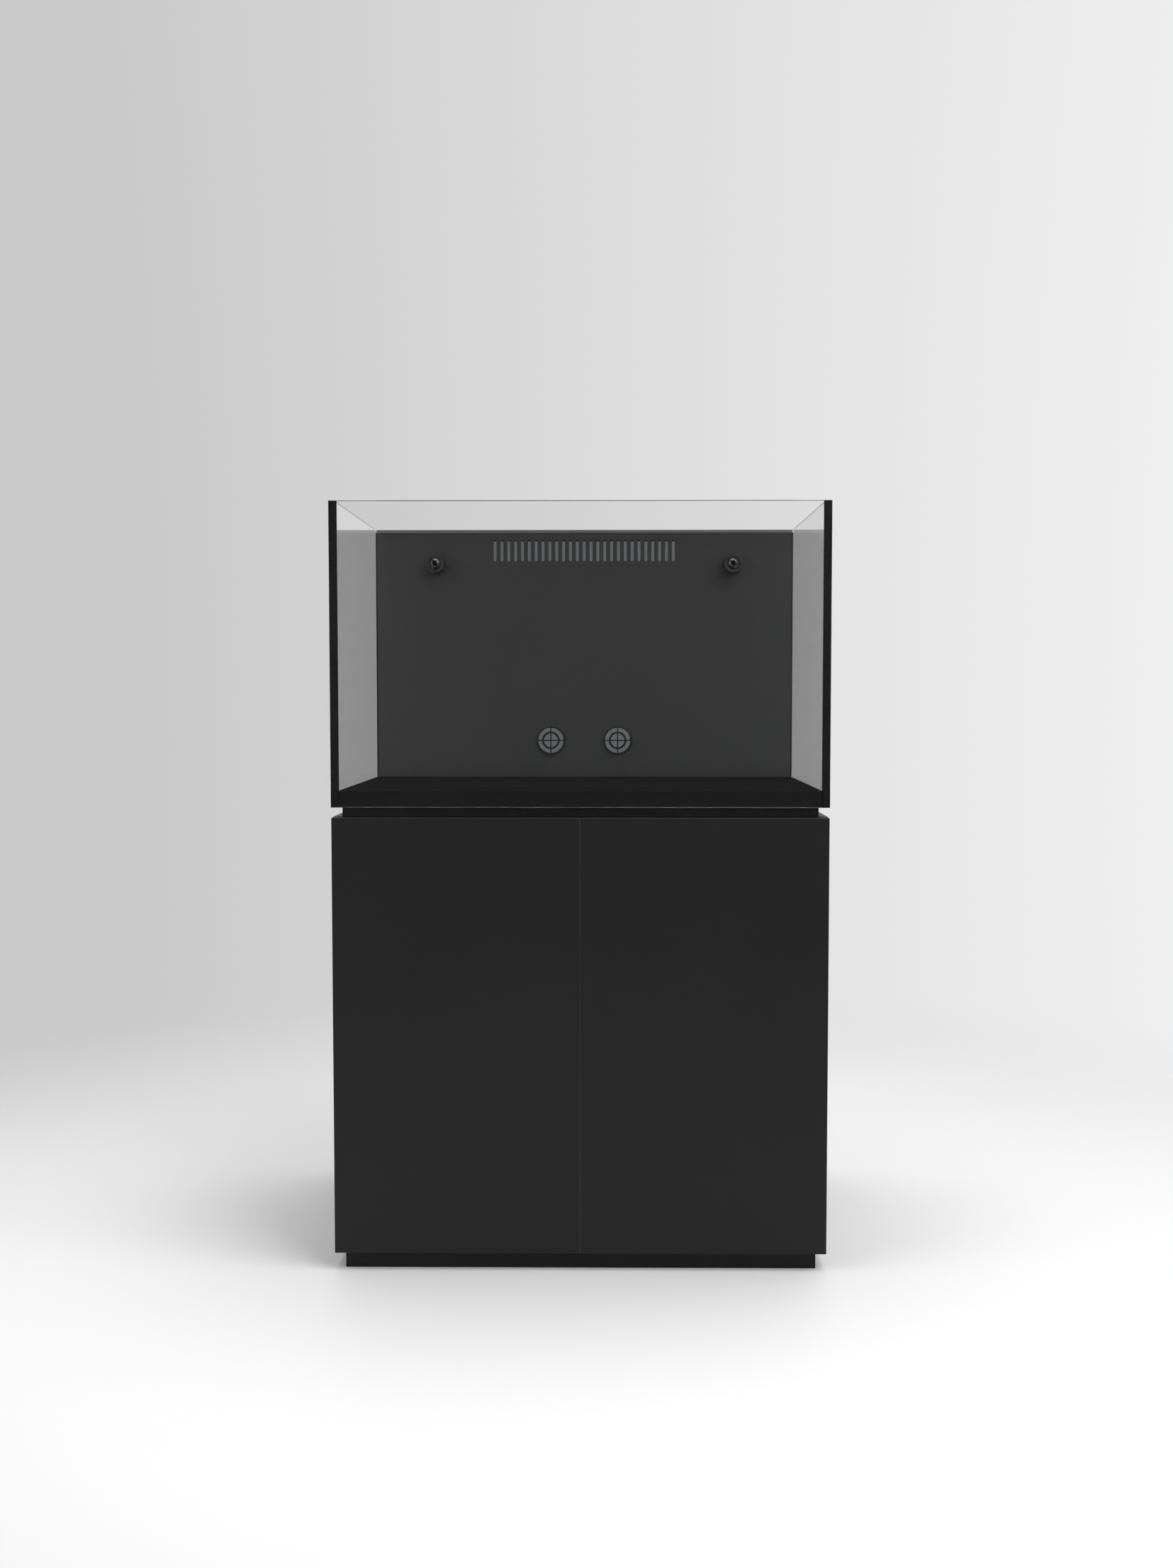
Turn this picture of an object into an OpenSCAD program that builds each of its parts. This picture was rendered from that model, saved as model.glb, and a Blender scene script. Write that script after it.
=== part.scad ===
// Rimless aquarium with a rear filter chamber, on a two-door cabinet.
// Origin: centre of the footprint at floor level. +Z is up and the front faces -Y.

/* [Tank] */
// Outer width of the tank and of the cabinet
tank_w = 900; // [860:5:1200]
// Outer depth of the tank and of the cabinet
tank_d = 600; // [500:5:800]
// Height of the wall panes
tank_h = 550; // [455:5:700]
// Thickness of the wall panes
glass_t = 12; // [8:1:15]
// Thickness of the bottom pane
bottom_glass_t = 12; // [8:1:19]
// Thickness of the black floor panel on the bottom pane
floor_panel_t = 12; // [4:1:15]
// Thickness of the foam mat under the bottom pane
mat_t = 6; // [3:1:10]
// Thickness of the silicone between two panes
seam_t = 1.5; // [1:0.5:3]
// Leg of the silicone bead in each upright inside corner
bead_leg = 2; // [1:0.5:4]

/* [Rear chamber] */
// Depth of the chamber behind the partition
chamber_d = 90; // [85:1:140]
// Thickness of the partition
partition_t = 8; // [6:1:12]
// Drop of the chamber's top below the rim of the glass
chamber_drop = 1.5; // [0:0.5:10]
// Height of the rail along the partition's top edge
rail_h = 6; // [5:1:12]
// Depth of that rail
rail_d = 16; // [14:1:20]
// Width of the step in the rail that a lid rests on
rail_step_w = 6; // [4:1:7]
// Thickness of the chamber's lids
lid_t = 3; // [2:0.5:4]
// Gap around each lid
lid_gap = 1; // [0.5:0.5:2]
// Diameter of the finger hole in each lid
finger_hole_d = 20; // [16:1:24]
// Width of the ledge on the back pane
ledge_w = 12; // [8:1:14]
// Height of the ledge on the back pane
ledge_h = 12; // [6:1:20]
// Clear width of the middle compartment
middle_w = 400; // [390:5:440]
// Thickness of the two baffles
baffle_t = 6; // [4:1:10]
// Height of the gap that water passes through under a baffle
underflow_h = 60; // [40:5:90]

/* [Weir slots] */
// Number of slots
slot_count = 27; // [15:2:27]
// Width of a slot
slot_w = 6; // [4:0.5:7]
// Height of a slot
slot_h = 46; // [30:1:50]
// Distance from slot to slot
slot_pitch = 14.4; // [12:0.1:14.4]
// Drop of the slots' tops below the chamber's top
slot_drop = 19.5; // [14:0.5:30]

/* [Strainers] */
// Distance between the two strainers
strainer_spacing = 141; // [90:1:220]
// Height of the strainers above the floor panel
strainer_h = 77; // [45:1:100]
// Diameter of the opening
strainer_open_d = 53; // [44:0.5:70]
// Wall of the barrel that passes through the partition
strainer_wall = 1.5; // [1:0.5:3]
// Width of the flange around the barrel
strainer_flange_w = 2; // [1:0.5:6]
// Thickness of the flange and of the grille
strainer_t = 3; // [2:0.5:5]
// Width of the grille's ring
grille_ring_w = 4.4; // [3:0.2:6]
// Inner diameter of the grille's ring
grille_ring_id = 28.8; // [20:0.2:32]
// Width of the grille's bars
grille_bar_w = 2.6; // [2:0.2:4]

/* [Return nozzles] */
// Distance of the nozzles from the outsides of the tank
nozzle_inset = 139; // [115:1:170]
// Drop of the nozzles below the chamber's top
nozzle_drop = 72.5; // [55:0.5:90]
// Diameter of the ball
ball_d = 28; // [23:0.5:34]
// Clearance around the ball
ball_clear = 0.3; // [0.2:0.1:0.4]
// Bore through the ball
ball_bore_d = 10; // [6:0.5:12]
// Wall of the socket
socket_wall = 1.5; // [1:0.1:2.5]
// Room in the socket around the ball
socket_room = 2; // [1:0.1:3]
// Lap of the seat ring over the ball, at the radius
seat_lap = 5; // [4:0.5:6]
// Thickness of the seat ring
seat_t = 3.3; // [2.5:0.1:4]
// Wall of the collar's grip around the socket
grip_wall = 3.25; // [2.5:0.05:5]
// Wall of the collar's nose around the ball
nose_wall = 4.1; // [3:0.1:5]
// Length of the collar's nose
nose_l = 10; // [8:0.5:12]
// Lap of the collar's mouth over the ball, at the radius
mouth_lap = 1.5; // [1:0.1:2.5]
// Length of the flare at the collar's mouth
flare_l = 1; // [0.5:0.1:2]
// Width of that flare
flare_w = 1.65; // [0.5:0.05:2.5]
// Number of grip notches
notch_count = 32; // [16:2:36]
// Radius of a grip notch
notch_r = 1.1; // [0.8:0.1:1.4]
// Outer diameter of the threaded barrel
barrel_d = 30; // [26:1:36]
// Thickness of the nozzle's flange
flange_t = 2; // [1.5:0.5:3]
// Thickness of the gasket behind the flange
gasket_t = 2; // [1:0.5:3]
// Wall of the nut at its flats
nut_wall = 5; // [3:0.5:8]
// Thickness of the nut
nut_t = 8; // [6:1:9]
// Length of thread that stands out behind the nut
thread_tail_l = 6; // [2:1:7]
// Length of the spigot behind the thread
spigot_l = 10; // [8:1:12]

/* [Return pipes and pumps] */
// Outer diameter of a pipe
pipe_od = 20; // [17:1:24]
// Wall of a pipe and of its nozzle's spigot
pipe_wall = 2; // [1.5:0.5:3]
// Bend radius of an elbow
bend_r = 20; // [16:1:24]
// Wall of an elbow
elbow_wall = 2.5; // [2:0.5:4]
// Length of an elbow's sockets
elbow_socket_l = 12; // [10:1:16]
// Height of the pump head above its base plate's underside
pump_head_lift = 4; // [2:1:10]
// Diameter of the pump head
pump_head_d = 52; // [44:1:60]
// Length of the pump head
pump_head_l = 30; // [28:1:40]
// Diameter of the motor
motor_d = 44; // [36:1:46]
// Length of the motor
motor_l = 55; // [40:1:60]
// Gap around the impeller
volute_gap = 2; // [1:0.5:4]
// Diameter of the impeller
impeller_d = 30; // [24:1:30]
// Length of the impeller's blades
impeller_l = 16; // [12:1:16]
// Number of impeller blades
blade_count = 6; // [4:1:8]
// Diameter of the impeller's shaft
shaft_d = 4; // [3:0.5:5]
// Radial running clearance of pins and shafts
running_clear = 0.05; // [0.02:0.01:0.1]
// Diameter of the intake cage
cage_d = 28; // [24:1:34]
// Length of the intake cage
cage_l = 20; // [14:1:26]
// Height of a pump foot
pump_foot_h = 8; // [5:1:12]
// Diameter of a pump foot
pump_foot_d = 12; // [8:1:14]

/* [Filter cassette] */
// Thickness of the cassette's plates
cassette_t = 3; // [2:0.5:5]
// Clearance of the cassette to the baffles, rail and ledge
cassette_clear = 1; // [1:0.5:2]
// Height of the stage for the sponge and the blocks
lower_stage_h = 217; // [160:1:260]
// Height of the back wall beside the floss
floss_stage_h = 75; // [50:1:90]
// Height of the lips that hold the pads and blocks in
cassette_lip_h = 12; // [6:1:20]
// Gap between the weir slots and the cassette's back wall below them
inflow_gap = 5; // [3:1:10]
// Thickness of the floss pad
floss_t = 40; // [20:1:45]
// Thickness of the sponge
sponge_t = 50; // [30:1:60]
// Height of a filter block
block_h = 80; // [50:1:90]
// Number of filter blocks
block_count = 3; // [2:1:4]
// Clearance around pads and blocks
media_clear = 1; // [0.5:0.5:2]

/* [Cabinet] */
// Height of the plinth
plinth_h = 32; // [25:1:120]
// Height of the cabinet's body
body_h = 800; // [600:5:900]
// Height of the riser between the cabinet and the tank
riser_h = 18; // [16:1:30]
// Thickness of the boards
board_t = 18; // [16:1:25]
// Setback of the plinth and the riser
setback = 18; // [10:1:40]
// Thickness of the doors
door_t = 18; // [16:1:25]
// Gap between the doors and the boards behind them
door_gap = 2.5; // [2.5:0.5:4]
// Gap between the two doors
door_seam = 2; // [1:0.5:4]
// Margin of the doors inside the cabinet's outline
door_margin = 0.5; // [0.5:0.5:2]
// Thickness of the back panel
back_t = 8; // [4:1:12]
// Inset of the back panel from the rear
back_inset = 10; // [6:1:16]
// Height of the shelves above the cabinet's bottom board
shelf_h = 382; // [200:1:450]
// Setback of the shelves from the boards' front edges
shelf_setback = 40; // [20:1:80]
// Gap at each end of a shelf
shelf_gap = 1; // [0.5:0.5:2]
// Diameter of a shelf pin
shelf_pin_d = 5; // [5:1:6]
// Length of a shelf pin
shelf_pin_l = 16; // [12:1:16]
// Diameter of the two cable ports in the back panel
port_d = 60; // [50:1:80]
// Distance of the cable ports below the cabinet's top
port_drop = 132; // [80:1:200]
// Bore of the grommet in a cable port
grommet_bore_d = 52; // [40:1:54]
// Diameter of a door bumper
bumper_d = 7; // [5:1:8]
// Gap between a closed door and its bumpers
bumper_clear = 0.5; // [0.2:0.1:1]
// Diameter of the fixing screws
screw_d = 4.4; // [3.6:0.2:5]
// Length of the fixing screws under the head
screw_l = 30; // [25:1:30]
// Diameter of a screw's head
screw_head_d = 9; // [8:0.5:10]
// Height of a screw's head
screw_head_h = 3; // [2:0.5:4]

/* [Hinges] */
// Diameter of a hinge cup
cup_d = 35; // [35:1:40]
// Depth of a hinge cup
cup_depth = 11.5; // [10.5:0.5:13]
// Wall of a hinge cup
cup_wall = 1.2; // [1:0.1:1.5]
// Distance from the door's edge to the cup's centre
cup_edge = 22.5; // [22:0.5:24]
// Width of the cup's rim outside the cup
cup_rim_w = 2; // [1:0.5:3]
// Thickness of the cup's rim
cup_rim_t = 1; // [0.6:0.1:1.2]
// Distance of the hinges from the door's ends
hinge_inset = 100; // [70:5:160]
// Distance from the door's edge to the pin in the cup
cup_pin_edge = 10.3; // [10:0.1:10.6]
// Depth of the pin in the cup below the door's back face
cup_pin_depth = 1.1; // [0.8:0.1:1.4]
// Distance of the arm's pin from the side board
arm_pin_side = 7; // [6.5:0.1:7.5]
// Distance of the arm's pin behind the door's back face
arm_pin_back = 2; // [1.6:0.1:2.4]
// Diameter of the hinge pins
hinge_pin_d = 3; // [2.5:0.1:3]
// Outer diameter of the link's barrels
link_barrel_d = 5.6; // [5:0.1:5.6]
// Thickness of the link's web
link_web_t = 2.4; // [1.6:0.1:2.4]
// Width of the link along the pins
link_w = 11; // [8:0.5:11]
// Side gap between the link and the arm's cheeks
link_gap = 0.5; // [0.3:0.1:0.6]
// Thickness of the arm's cheeks
cheek_t = 2; // [1.5:0.5:2.5]
// Diameter of the cheeks' rounded ends
cheek_d = 7; // [6:0.5:7]
// Thickness of the arm
arm_t = 10; // [8:1:10]
// Length of the arm behind its pin
arm_l = 54; // [40:1:70]
// Thickness of the mounting plate
plate_t = 2; // [2:0.5:2]
// Length of the mounting plate
plate_l = 34; // [20:1:36]
// Height of the mounting plate
plate_h = 48; // [30:1:60]

/* [Hidden] */
$fn = 96;
eps = 0.01; // overshoot of a cut past a face

// Levels, from the floor up
body_top = plinth_h + body_h;
tank_z = body_top + riser_h;
tank_top = tank_z + tank_h;
pane_z = tank_z + mat_t;
panel_z = pane_z + bottom_glass_t;
floor_z = panel_z + floor_panel_t;
chamber_top = tank_top - chamber_drop;
rail_z = chamber_top - rail_h;
lid_z = chamber_top - lid_t;
ledge_z = lid_z - ledge_h;
slot_top = chamber_top - slot_drop;
slot_bottom = slot_top - slot_h;
nozzle_z = chamber_top - nozzle_drop;

// Outline of the tank and faces of its panes
half_w = tank_w / 2;
front_y = -tank_d / 2;
back_y = tank_d / 2;
wall_x = half_w - glass_t;
inner_front_y = front_y + glass_t;
inner_back_y = back_y - glass_t;
pane_x = wall_x - seam_t;
pane_end_y = inner_back_y - seam_t;

// Rear chamber
partition_back_y = inner_back_y - chamber_d;
partition_y = partition_back_y - partition_t;
rail_back_y = partition_y + rail_d;
lid_front_y = rail_back_y - rail_step_w + lid_gap;
lid_back_y = inner_back_y - lid_gap;
ledge_y = inner_back_y - ledge_w;
baffle_x = middle_w / 2 + baffle_t / 2;

// Strainers
strainer_z = floor_z + strainer_h;
strainer_barrel_d = strainer_open_d + 2 * strainer_wall;
strainer_flange_d = strainer_barrel_d + 2 * strainer_flange_w;

// Return nozzles, built forward and back from the flange on the partition
ball_room_d = ball_d + 2 * ball_clear;
mouth_d = ball_d - 2 * mouth_lap;
socket_bore_d = ball_d + 2 * socket_room;
socket_d = socket_bore_d + 2 * socket_wall;
collar_bore_d = socket_d + 2 * running_clear;
collar_d = collar_bore_d + 2 * grip_wall;
flange_y = partition_y - gasket_t - flange_t;
ball_y = flange_y - ball_d / 2;
mouth_y = ball_y - sqrt(pow(ball_room_d / 2, 2) - pow(mouth_d / 2, 2));
collar_y = mouth_y - flare_l;
thread_end_y = partition_back_y + nut_t + thread_tail_l;
spigot_end_y = thread_end_y + spigot_l;
bend_lead = 1; // straight run between the spigot and the elbow's bend
pipe_y = spigot_end_y + bend_lead + bend_r;
pipe_top = nozzle_z - bend_r;
pipe_id = pipe_od - 2 * pipe_wall;
elbow_od = pipe_od + 2 * elbow_wall;
nozzle_x = half_w - nozzle_inset;
turn_gap = 0.3; // gap between faces that turn past each other
seat_back_y = flange_y - turn_gap;
socket_lead = 4; // distance from the ball's centre back to the socket's front end
socket_y = ball_y + socket_lead;
flange_d = collar_d - 2 * notch_r;

// Pumps, around a shaft along X
pump_z = floor_z + pump_foot_h + pump_head_lift + pump_head_d / 2;
pump_wall = 3; // wall between the impeller's chamber and the cage
spout_rise = 2; // height of the shoulder that the pipe stands on
spout_z = pump_z + pump_head_d / 2 + spout_rise;
spout_l = 12;
spout_wall = 2;
spout_bore_d = pipe_id - 2 * spout_wall;
cage_wall = 2.5;
cage_slot_w = 3;
cage_end_l = 4; // plain length at each end of the cage
intake_eye_d = cage_d - 4 * cage_wall;
base_z = floor_z + pump_foot_h;
base_t = 6;
base_l = pump_head_l + motor_l;
base_w = pump_head_d - 4;
foot_inset = pump_foot_d / 2 + 2;
blade_end_gap = 2.5; // gap at each end of the impeller's blades
hub_d = 10;
blade_t = 2;
shaft_l = 14; // length of the shaft inside the motor

// Filter cassette
cassette_x = middle_w / 2 - cassette_clear - cassette_t;
cassette_front_y = rail_back_y + cassette_clear;
cassette_back_y = ledge_y - cassette_clear;
cassette_wall_top = slot_bottom - inflow_gap;
tray_z = cassette_wall_top - floss_stage_h - cassette_t;
cassette_z = tray_z - lower_stage_h - cassette_t;
media_front_y = cassette_front_y + cassette_t + media_clear;
media_back_y = cassette_back_y - cassette_t - media_clear;
media_x = cassette_x - media_clear;
plate_slot_count = 12; // slots across a plate of the cassette
plate_slot_inset = 6; // distance from the media's edge to the ends of those slots
block_hole_d = 14;
block_hole_count = 3;

// Cabinet
board_x = half_w - board_t;
door_back_y = front_y + door_t;
carcass_y = door_back_y + door_gap;
back_panel_y = back_y - back_inset - back_t;
door_edge_x = half_w - door_margin;
bottom_top = plinth_h + board_t;
shelf_z = bottom_top + shelf_h;
pin_bite = shelf_pin_l / 2;
pin_inset = 50; // distance of the shelf pins from the shelf's front and rear edges
bumper_inset = 40; // distance of the bumpers from the divider's ends
port_x = half_w / 2;
port_z = body_top - port_drop;
bumper_t = door_gap - bumper_clear;
grommet_lip_w = 5;
grommet_lip_t = 2;
screw_inset = 70;
screw_x = half_w - screw_inset;
plinth_screw_y = tank_d / 2 - setback - board_t / 2;
riser_screw_y = tank_d / 3;

// Hinges, on the left door; the right ones are mirrored
cup_x = -door_edge_x + cup_edge;
cup_pin = [-door_edge_x + cup_pin_edge, door_back_y - cup_pin_depth];
arm_pin = [-board_x + arm_pin_side, door_back_y + arm_pin_back];
hinge_z = [plinth_h + hinge_inset, body_top - hinge_inset];
link_dip = 7; // depth of the link's bend into the cup, below the cup's pin
link_rise = 0.8; // rise along the bottom of that bend
link_reach = [4.5, 11.4]; // distances of the bend's two corners from the cup's pin
cheek_z = link_w / 2 + link_gap;
arm_relief = 1.3; // gap between the link's barrel and the arm's solid end
arm_front = link_barrel_d / 2 + arm_relief;
plate_tail = 4; // length of the mounting plate behind the arm
cup_skin = 0.1; // least wall outside the ends of the cup's pin

// A box between two corners
module box(low, high) {
  translate(low) cube(high - low);
}

// A copy on each side of the middle
module both_sides() {
  children();
  mirror([1, 0, 0]) children();
}

// A cylinder along +Y from y0 to y1 at (x, z)
module rod_y(x, z, y0, y1, d) {
  translate([x, y0, z]) rotate([-90, 0, 0]) cylinder(h = y1 - y0, d = d);
}

// A cylinder along +X from x0 to x1 at (y, z)
module rod_x(y, z, x0, x1, d) {
  translate([x0, y, z]) rotate([0, 90, 0]) cylinder(h = x1 - x0, d = d);
}

// --- Tank ---

module front_glass() {
  color("#dfe9e8", 0.35) box([-half_w, front_y, tank_z], [half_w, inner_front_y, tank_top]);
}

module back_glass() {
  color("#4b4f50", 0.6) box([-half_w, inner_back_y, tank_z], [half_w, back_y, tank_top]);
}

module side_glass() {
  box([-half_w, -pane_end_y, tank_z], [-wall_x, pane_end_y, tank_top]);
}

module left_glass() {
  color("#dfe9e8", 0.35) side_glass();
}

module right_glass() {
  color("#dfe9e8", 0.35) mirror([1, 0, 0]) side_glass();
}

module bottom_glass() {
  color("#b9c6c4") box([-pane_x, -pane_end_y, pane_z], [pane_x, pane_end_y, panel_z]);
}

module floor_panel() {
  color("#1b1b1b") box([-pane_x, -pane_end_y, panel_z], [pane_x, pane_end_y, floor_z]);
}

module levelling_mat() {
  mat_x = half_w - setback;
  mat_y = back_y - setback;
  color("#3a3a3c") box([-mat_x, -mat_y, tank_z], [mat_x, mat_y, pane_z]);
}

// Outline of the joint between a side pane's end and the front pane, with its inside bead
module corner_seam() {
  translate([0, 0, tank_z]) linear_extrude(tank_h) polygon([
    [-half_w, inner_front_y],
    [-wall_x + bead_leg, inner_front_y],
    [-wall_x, -pane_end_y + bead_leg],
    [-wall_x, -pane_end_y],
    [-half_w, -pane_end_y]
  ]);
}

// Joint between the partition's end and the side pane, with a small bead in front
module partition_seam() {
  bead = bead_leg / 2;
  translate([0, 0, floor_z]) linear_extrude(chamber_top - floor_z) polygon([
    [-wall_x, partition_back_y],
    [-wall_x, partition_y - bead],
    [-pane_x + bead, partition_y],
    [-pane_x, partition_y],
    [-pane_x, partition_back_y]
  ]);
}

module silicone_seams() {
  color("#1e1e1e") {
    both_sides() {
      corner_seam();
      mirror([0, 1, 0]) corner_seam();
      partition_seam();
    }
    difference() {
      box([-wall_x, inner_front_y, tank_z], [wall_x, inner_back_y, floor_z]);
      box([-pane_x, -pane_end_y, tank_z - eps], [pane_x, pane_end_y, floor_z + eps]);
    }
  }
}

// --- Rear chamber ---

// One weir slot with round ends, cut through the partition
module weir_slot(x) {
  z0 = slot_bottom + slot_w / 2;
  z1 = slot_top - slot_w / 2;
  for (z = [z0, z1]) rod_y(x, z, partition_y - eps, partition_back_y + eps, slot_w);
  box([x - slot_w / 2, partition_y - eps, z0], [x + slot_w / 2, partition_back_y + eps, z1]);
}

module partition() {
  y0 = partition_y - eps;
  y1 = partition_back_y + eps;
  color("#363636") difference() {
    box([-pane_x, partition_y, floor_z], [pane_x, partition_back_y, rail_z]);
    for (i = [0 : slot_count - 1]) weir_slot((i - (slot_count - 1) / 2) * slot_pitch);
    both_sides() {
      rod_y(-nozzle_x, nozzle_z, y0, y1, barrel_d);
      rod_y(-strainer_spacing / 2, strainer_z, y0, y1, strainer_barrel_d);
    }
  }
}

module top_rail() {
  color("#3a3a3a") difference() {
    box([-pane_x, partition_y, rail_z], [pane_x, rail_back_y, chamber_top]);
    box([-half_w, rail_back_y - rail_step_w, lid_z], [half_w, rail_back_y + eps, tank_top]);
  }
}

module lid_ledge() {
  x = wall_x - 2 * lid_gap;
  color("#262626") box([-x, ledge_y, ledge_z], [x, inner_back_y, lid_z]);
}

module chamber_baffles() {
  x0 = middle_w / 2;
  color("#2c2c2e") both_sides()
    box([x0, partition_back_y, floor_z + underflow_h], [x0 + baffle_t, inner_back_y, ledge_z]);
}

// A lid from x0 to x1 with a finger hole in its middle
module lid(x0, x1) {
  y_mid = (lid_front_y + lid_back_y) / 2;
  difference() {
    box([x0, lid_front_y, lid_z], [x1, lid_back_y, chamber_top]);
    translate([(x0 + x1) / 2, y_mid, lid_z - eps]) cylinder(h = lid_t + 2 * eps, d = finger_hole_d);
  }
}

module left_lid() {
  color("#2b2b2b") lid(-wall_x + 2 * lid_gap, -baffle_x - lid_gap);
}

module right_lid() {
  color("#2b2b2b") lid(baffle_x + lid_gap, wall_x - 2 * lid_gap);
}

module strainer() {
  r = strainer_open_d / 2;
  y0 = partition_y - strainer_t;
  color("#2a2a2a") {
    difference() {
      union() {
        rod_y(0, 0, y0, partition_y, strainer_flange_d);
        rod_y(0, 0, partition_y, partition_back_y, strainer_barrel_d);
      }
      rod_y(0, 0, y0 - eps, partition_back_y + eps, strainer_open_d);
    }
    difference() {
      rod_y(0, 0, y0, partition_y, grille_ring_id + 2 * grille_ring_w);
      rod_y(0, 0, y0 - eps, partition_y + eps, grille_ring_id);
    }
    intersection() {
      rod_y(0, 0, y0, partition_y, strainer_open_d + 1);
      union() {
        box([-r - 1, y0, -grille_bar_w / 2], [r + 1, partition_y, grille_bar_w / 2]);
        box([-grille_bar_w / 2, y0, -r - 1], [grille_bar_w / 2, partition_y, r + 1]);
      }
    }
  }
}

module left_strainer() {
  translate([-strainer_spacing / 2, 0, strainer_z]) strainer();
}

module right_strainer() {
  translate([strainer_spacing / 2, 0, strainer_z]) strainer();
}

// --- Filter cassette: a rack with an open front that hangs from its own cover ---

module cassette_cover() {
  color("#2b2b2b") lid(-baffle_x + lid_gap, baffle_x - lid_gap);
}

// A plate across the cassette, cut with slots for the water
module slotted_plate(z) {
  pitch = 2 * cassette_x / plate_slot_count;
  y0 = media_front_y + plate_slot_inset;
  y1 = media_back_y - plate_slot_inset;
  difference() {
    box([-cassette_x, cassette_front_y, z], [cassette_x, cassette_back_y, z + cassette_t]);
    for (i = [0 : plate_slot_count - 1]) {
      x = -cassette_x + (i + 0.5) * pitch;
      box([x - pitch / 4, y0, z - eps], [x + pitch / 4, y1, z + cassette_t + eps]);
    }
  }
}

module cassette_frame() {
  x1 = cassette_x + cassette_t;
  color("#303236") {
    both_sides()
      box([cassette_x, cassette_front_y, cassette_z], [x1, cassette_back_y, lid_z]);
    box([-x1, cassette_back_y - cassette_t, cassette_z], [x1, cassette_back_y, cassette_wall_top]);
    for (z = [cassette_z, tray_z]) {
      slotted_plate(z);
      box([-x1, cassette_front_y, z],
          [x1, cassette_front_y + cassette_t, z + cassette_t + cassette_lip_h]);
    }
  }
}

module filter_floss() {
  z0 = tray_z + cassette_t;
  color("#e9e9e4") box([-media_x, media_front_y, z0], [media_x, media_back_y, z0 + floss_t]);
}

module filter_sponge() {
  z0 = cassette_z + cassette_t;
  color("#2a2f38") box([-media_x, media_front_y, z0], [media_x, media_back_y, z0 + sponge_t]);
}

// Porous blocks in a row on the sponge, each with bores through it from front to back
module filter_blocks() {
  pitch = 2 * media_x / block_count;
  z0 = cassette_z + cassette_t + sponge_t;
  z_mid = z0 + block_h / 2;
  block_l = pitch - 2 * media_clear;
  hole_pitch = block_l / (block_hole_count + 1);
  color("#cfc6b4") for (i = [0 : block_count - 1]) {
    x0 = -media_x + i * pitch + media_clear;
    difference() {
      box([x0, media_front_y, z0], [x0 + block_l, media_back_y, z0 + block_h]);
      for (k = [1 : block_hole_count])
        rod_y(x0 + k * hole_pitch, z_mid, media_front_y - eps, media_back_y + eps, block_hole_d);
    }
  }
}

// --- Return nozzles: everything turned on the nozzle's own axis along +Y ---

module nozzle_body() {
  y_end = spigot_end_y + eps;
  color("#242424") difference() {
    union() {
      rod_y(0, 0, socket_y, flange_y, socket_d);
      rod_y(0, 0, flange_y, flange_y + flange_t, flange_d);
      rod_y(0, 0, flange_y + flange_t, thread_end_y, barrel_d);
      rod_y(0, 0, thread_end_y, spigot_end_y, pipe_od);
    }
    rod_y(0, 0, socket_y - eps, flange_y, socket_bore_d);
    rod_y(0, 0, flange_y - eps, y_end, pipe_id);
  }
}

module collar() {
  grip_y = collar_y + nose_l;
  end_y = flange_y - turn_gap;
  shoulder_y = socket_y - turn_gap;
  color("#2c2c2c") difference() {
    union() {
      rod_y(0, 0, collar_y, grip_y, ball_room_d + 2 * nose_wall);
      rod_y(0, 0, grip_y, end_y, collar_d);
    }
    rod_y(0, 0, shoulder_y, end_y + eps, collar_bore_d);
    rod_y(0, 0, collar_y - eps, ball_y, mouth_d);
    translate([0, ball_y, 0]) sphere(d = ball_room_d);
    rod_y(0, 0, ball_y, shoulder_y + eps, ball_room_d);
    translate([0, collar_y - eps, 0]) rotate([-90, 0, 0])
      cylinder(h = flare_l, d1 = mouth_d + 2 * flare_w, d2 = mouth_d);
    for (i = [0 : notch_count - 1]) rotate([0, i * 360 / notch_count, 0])
      rod_y(collar_d / 2, 0, grip_y - eps, end_y + eps, 2 * notch_r);
  }
}

module seat_ring() {
  color("#d8d8d4") difference() {
    rod_y(0, 0, seat_back_y - seat_t, seat_back_y, socket_bore_d - 2 * running_clear);
    rod_y(0, 0, seat_back_y - seat_t - eps, seat_back_y + eps, ball_d - 2 * seat_lap);
    translate([0, ball_y, 0]) sphere(d = ball_room_d);
  }
}

module ball() {
  color("#1d1d1d") translate([0, ball_y, 0]) rotate([-90, 0, 0]) difference() {
    sphere(d = ball_d);
    cylinder(h = 2 * ball_d, d = ball_bore_d, center = true);
  }
}

module at_nozzle(side) {
  translate([side * nozzle_x, 0, nozzle_z]) children();
}

module left_nozzle_body() {
  at_nozzle(-1) nozzle_body();
}

module right_nozzle_body() {
  at_nozzle(1) nozzle_body();
}

module left_collar() {
  at_nozzle(-1) collar();
}

module right_collar() {
  at_nozzle(1) collar();
}

module left_seat_ring() {
  at_nozzle(-1) seat_ring();
}

module right_seat_ring() {
  at_nozzle(1) seat_ring();
}

module left_ball() {
  at_nozzle(-1) ball();
}

module right_ball() {
  at_nozzle(1) ball();
}

module nozzle_gaskets() {
  color("#111111") for (side = [-1, 1]) at_nozzle(side) difference() {
    rod_y(0, 0, partition_y - gasket_t, partition_y, flange_d);
    rod_y(0, 0, partition_y - gasket_t - eps, partition_y + eps, barrel_d);
  }
}

module nozzle_nuts() {
  corner_d = (barrel_d + 2 * nut_wall) / cos(30);
  color("#202020") for (side = [-1, 1]) at_nozzle(side) difference() {
    translate([0, partition_back_y, 0]) rotate([-90, 0, 0])
      cylinder(h = nut_t, d = corner_d, $fn = 6);
    rod_y(0, 0, partition_back_y - eps, partition_back_y + nut_t + eps, barrel_d);
  }
}

// --- Return pipes and pumps ---

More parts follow.
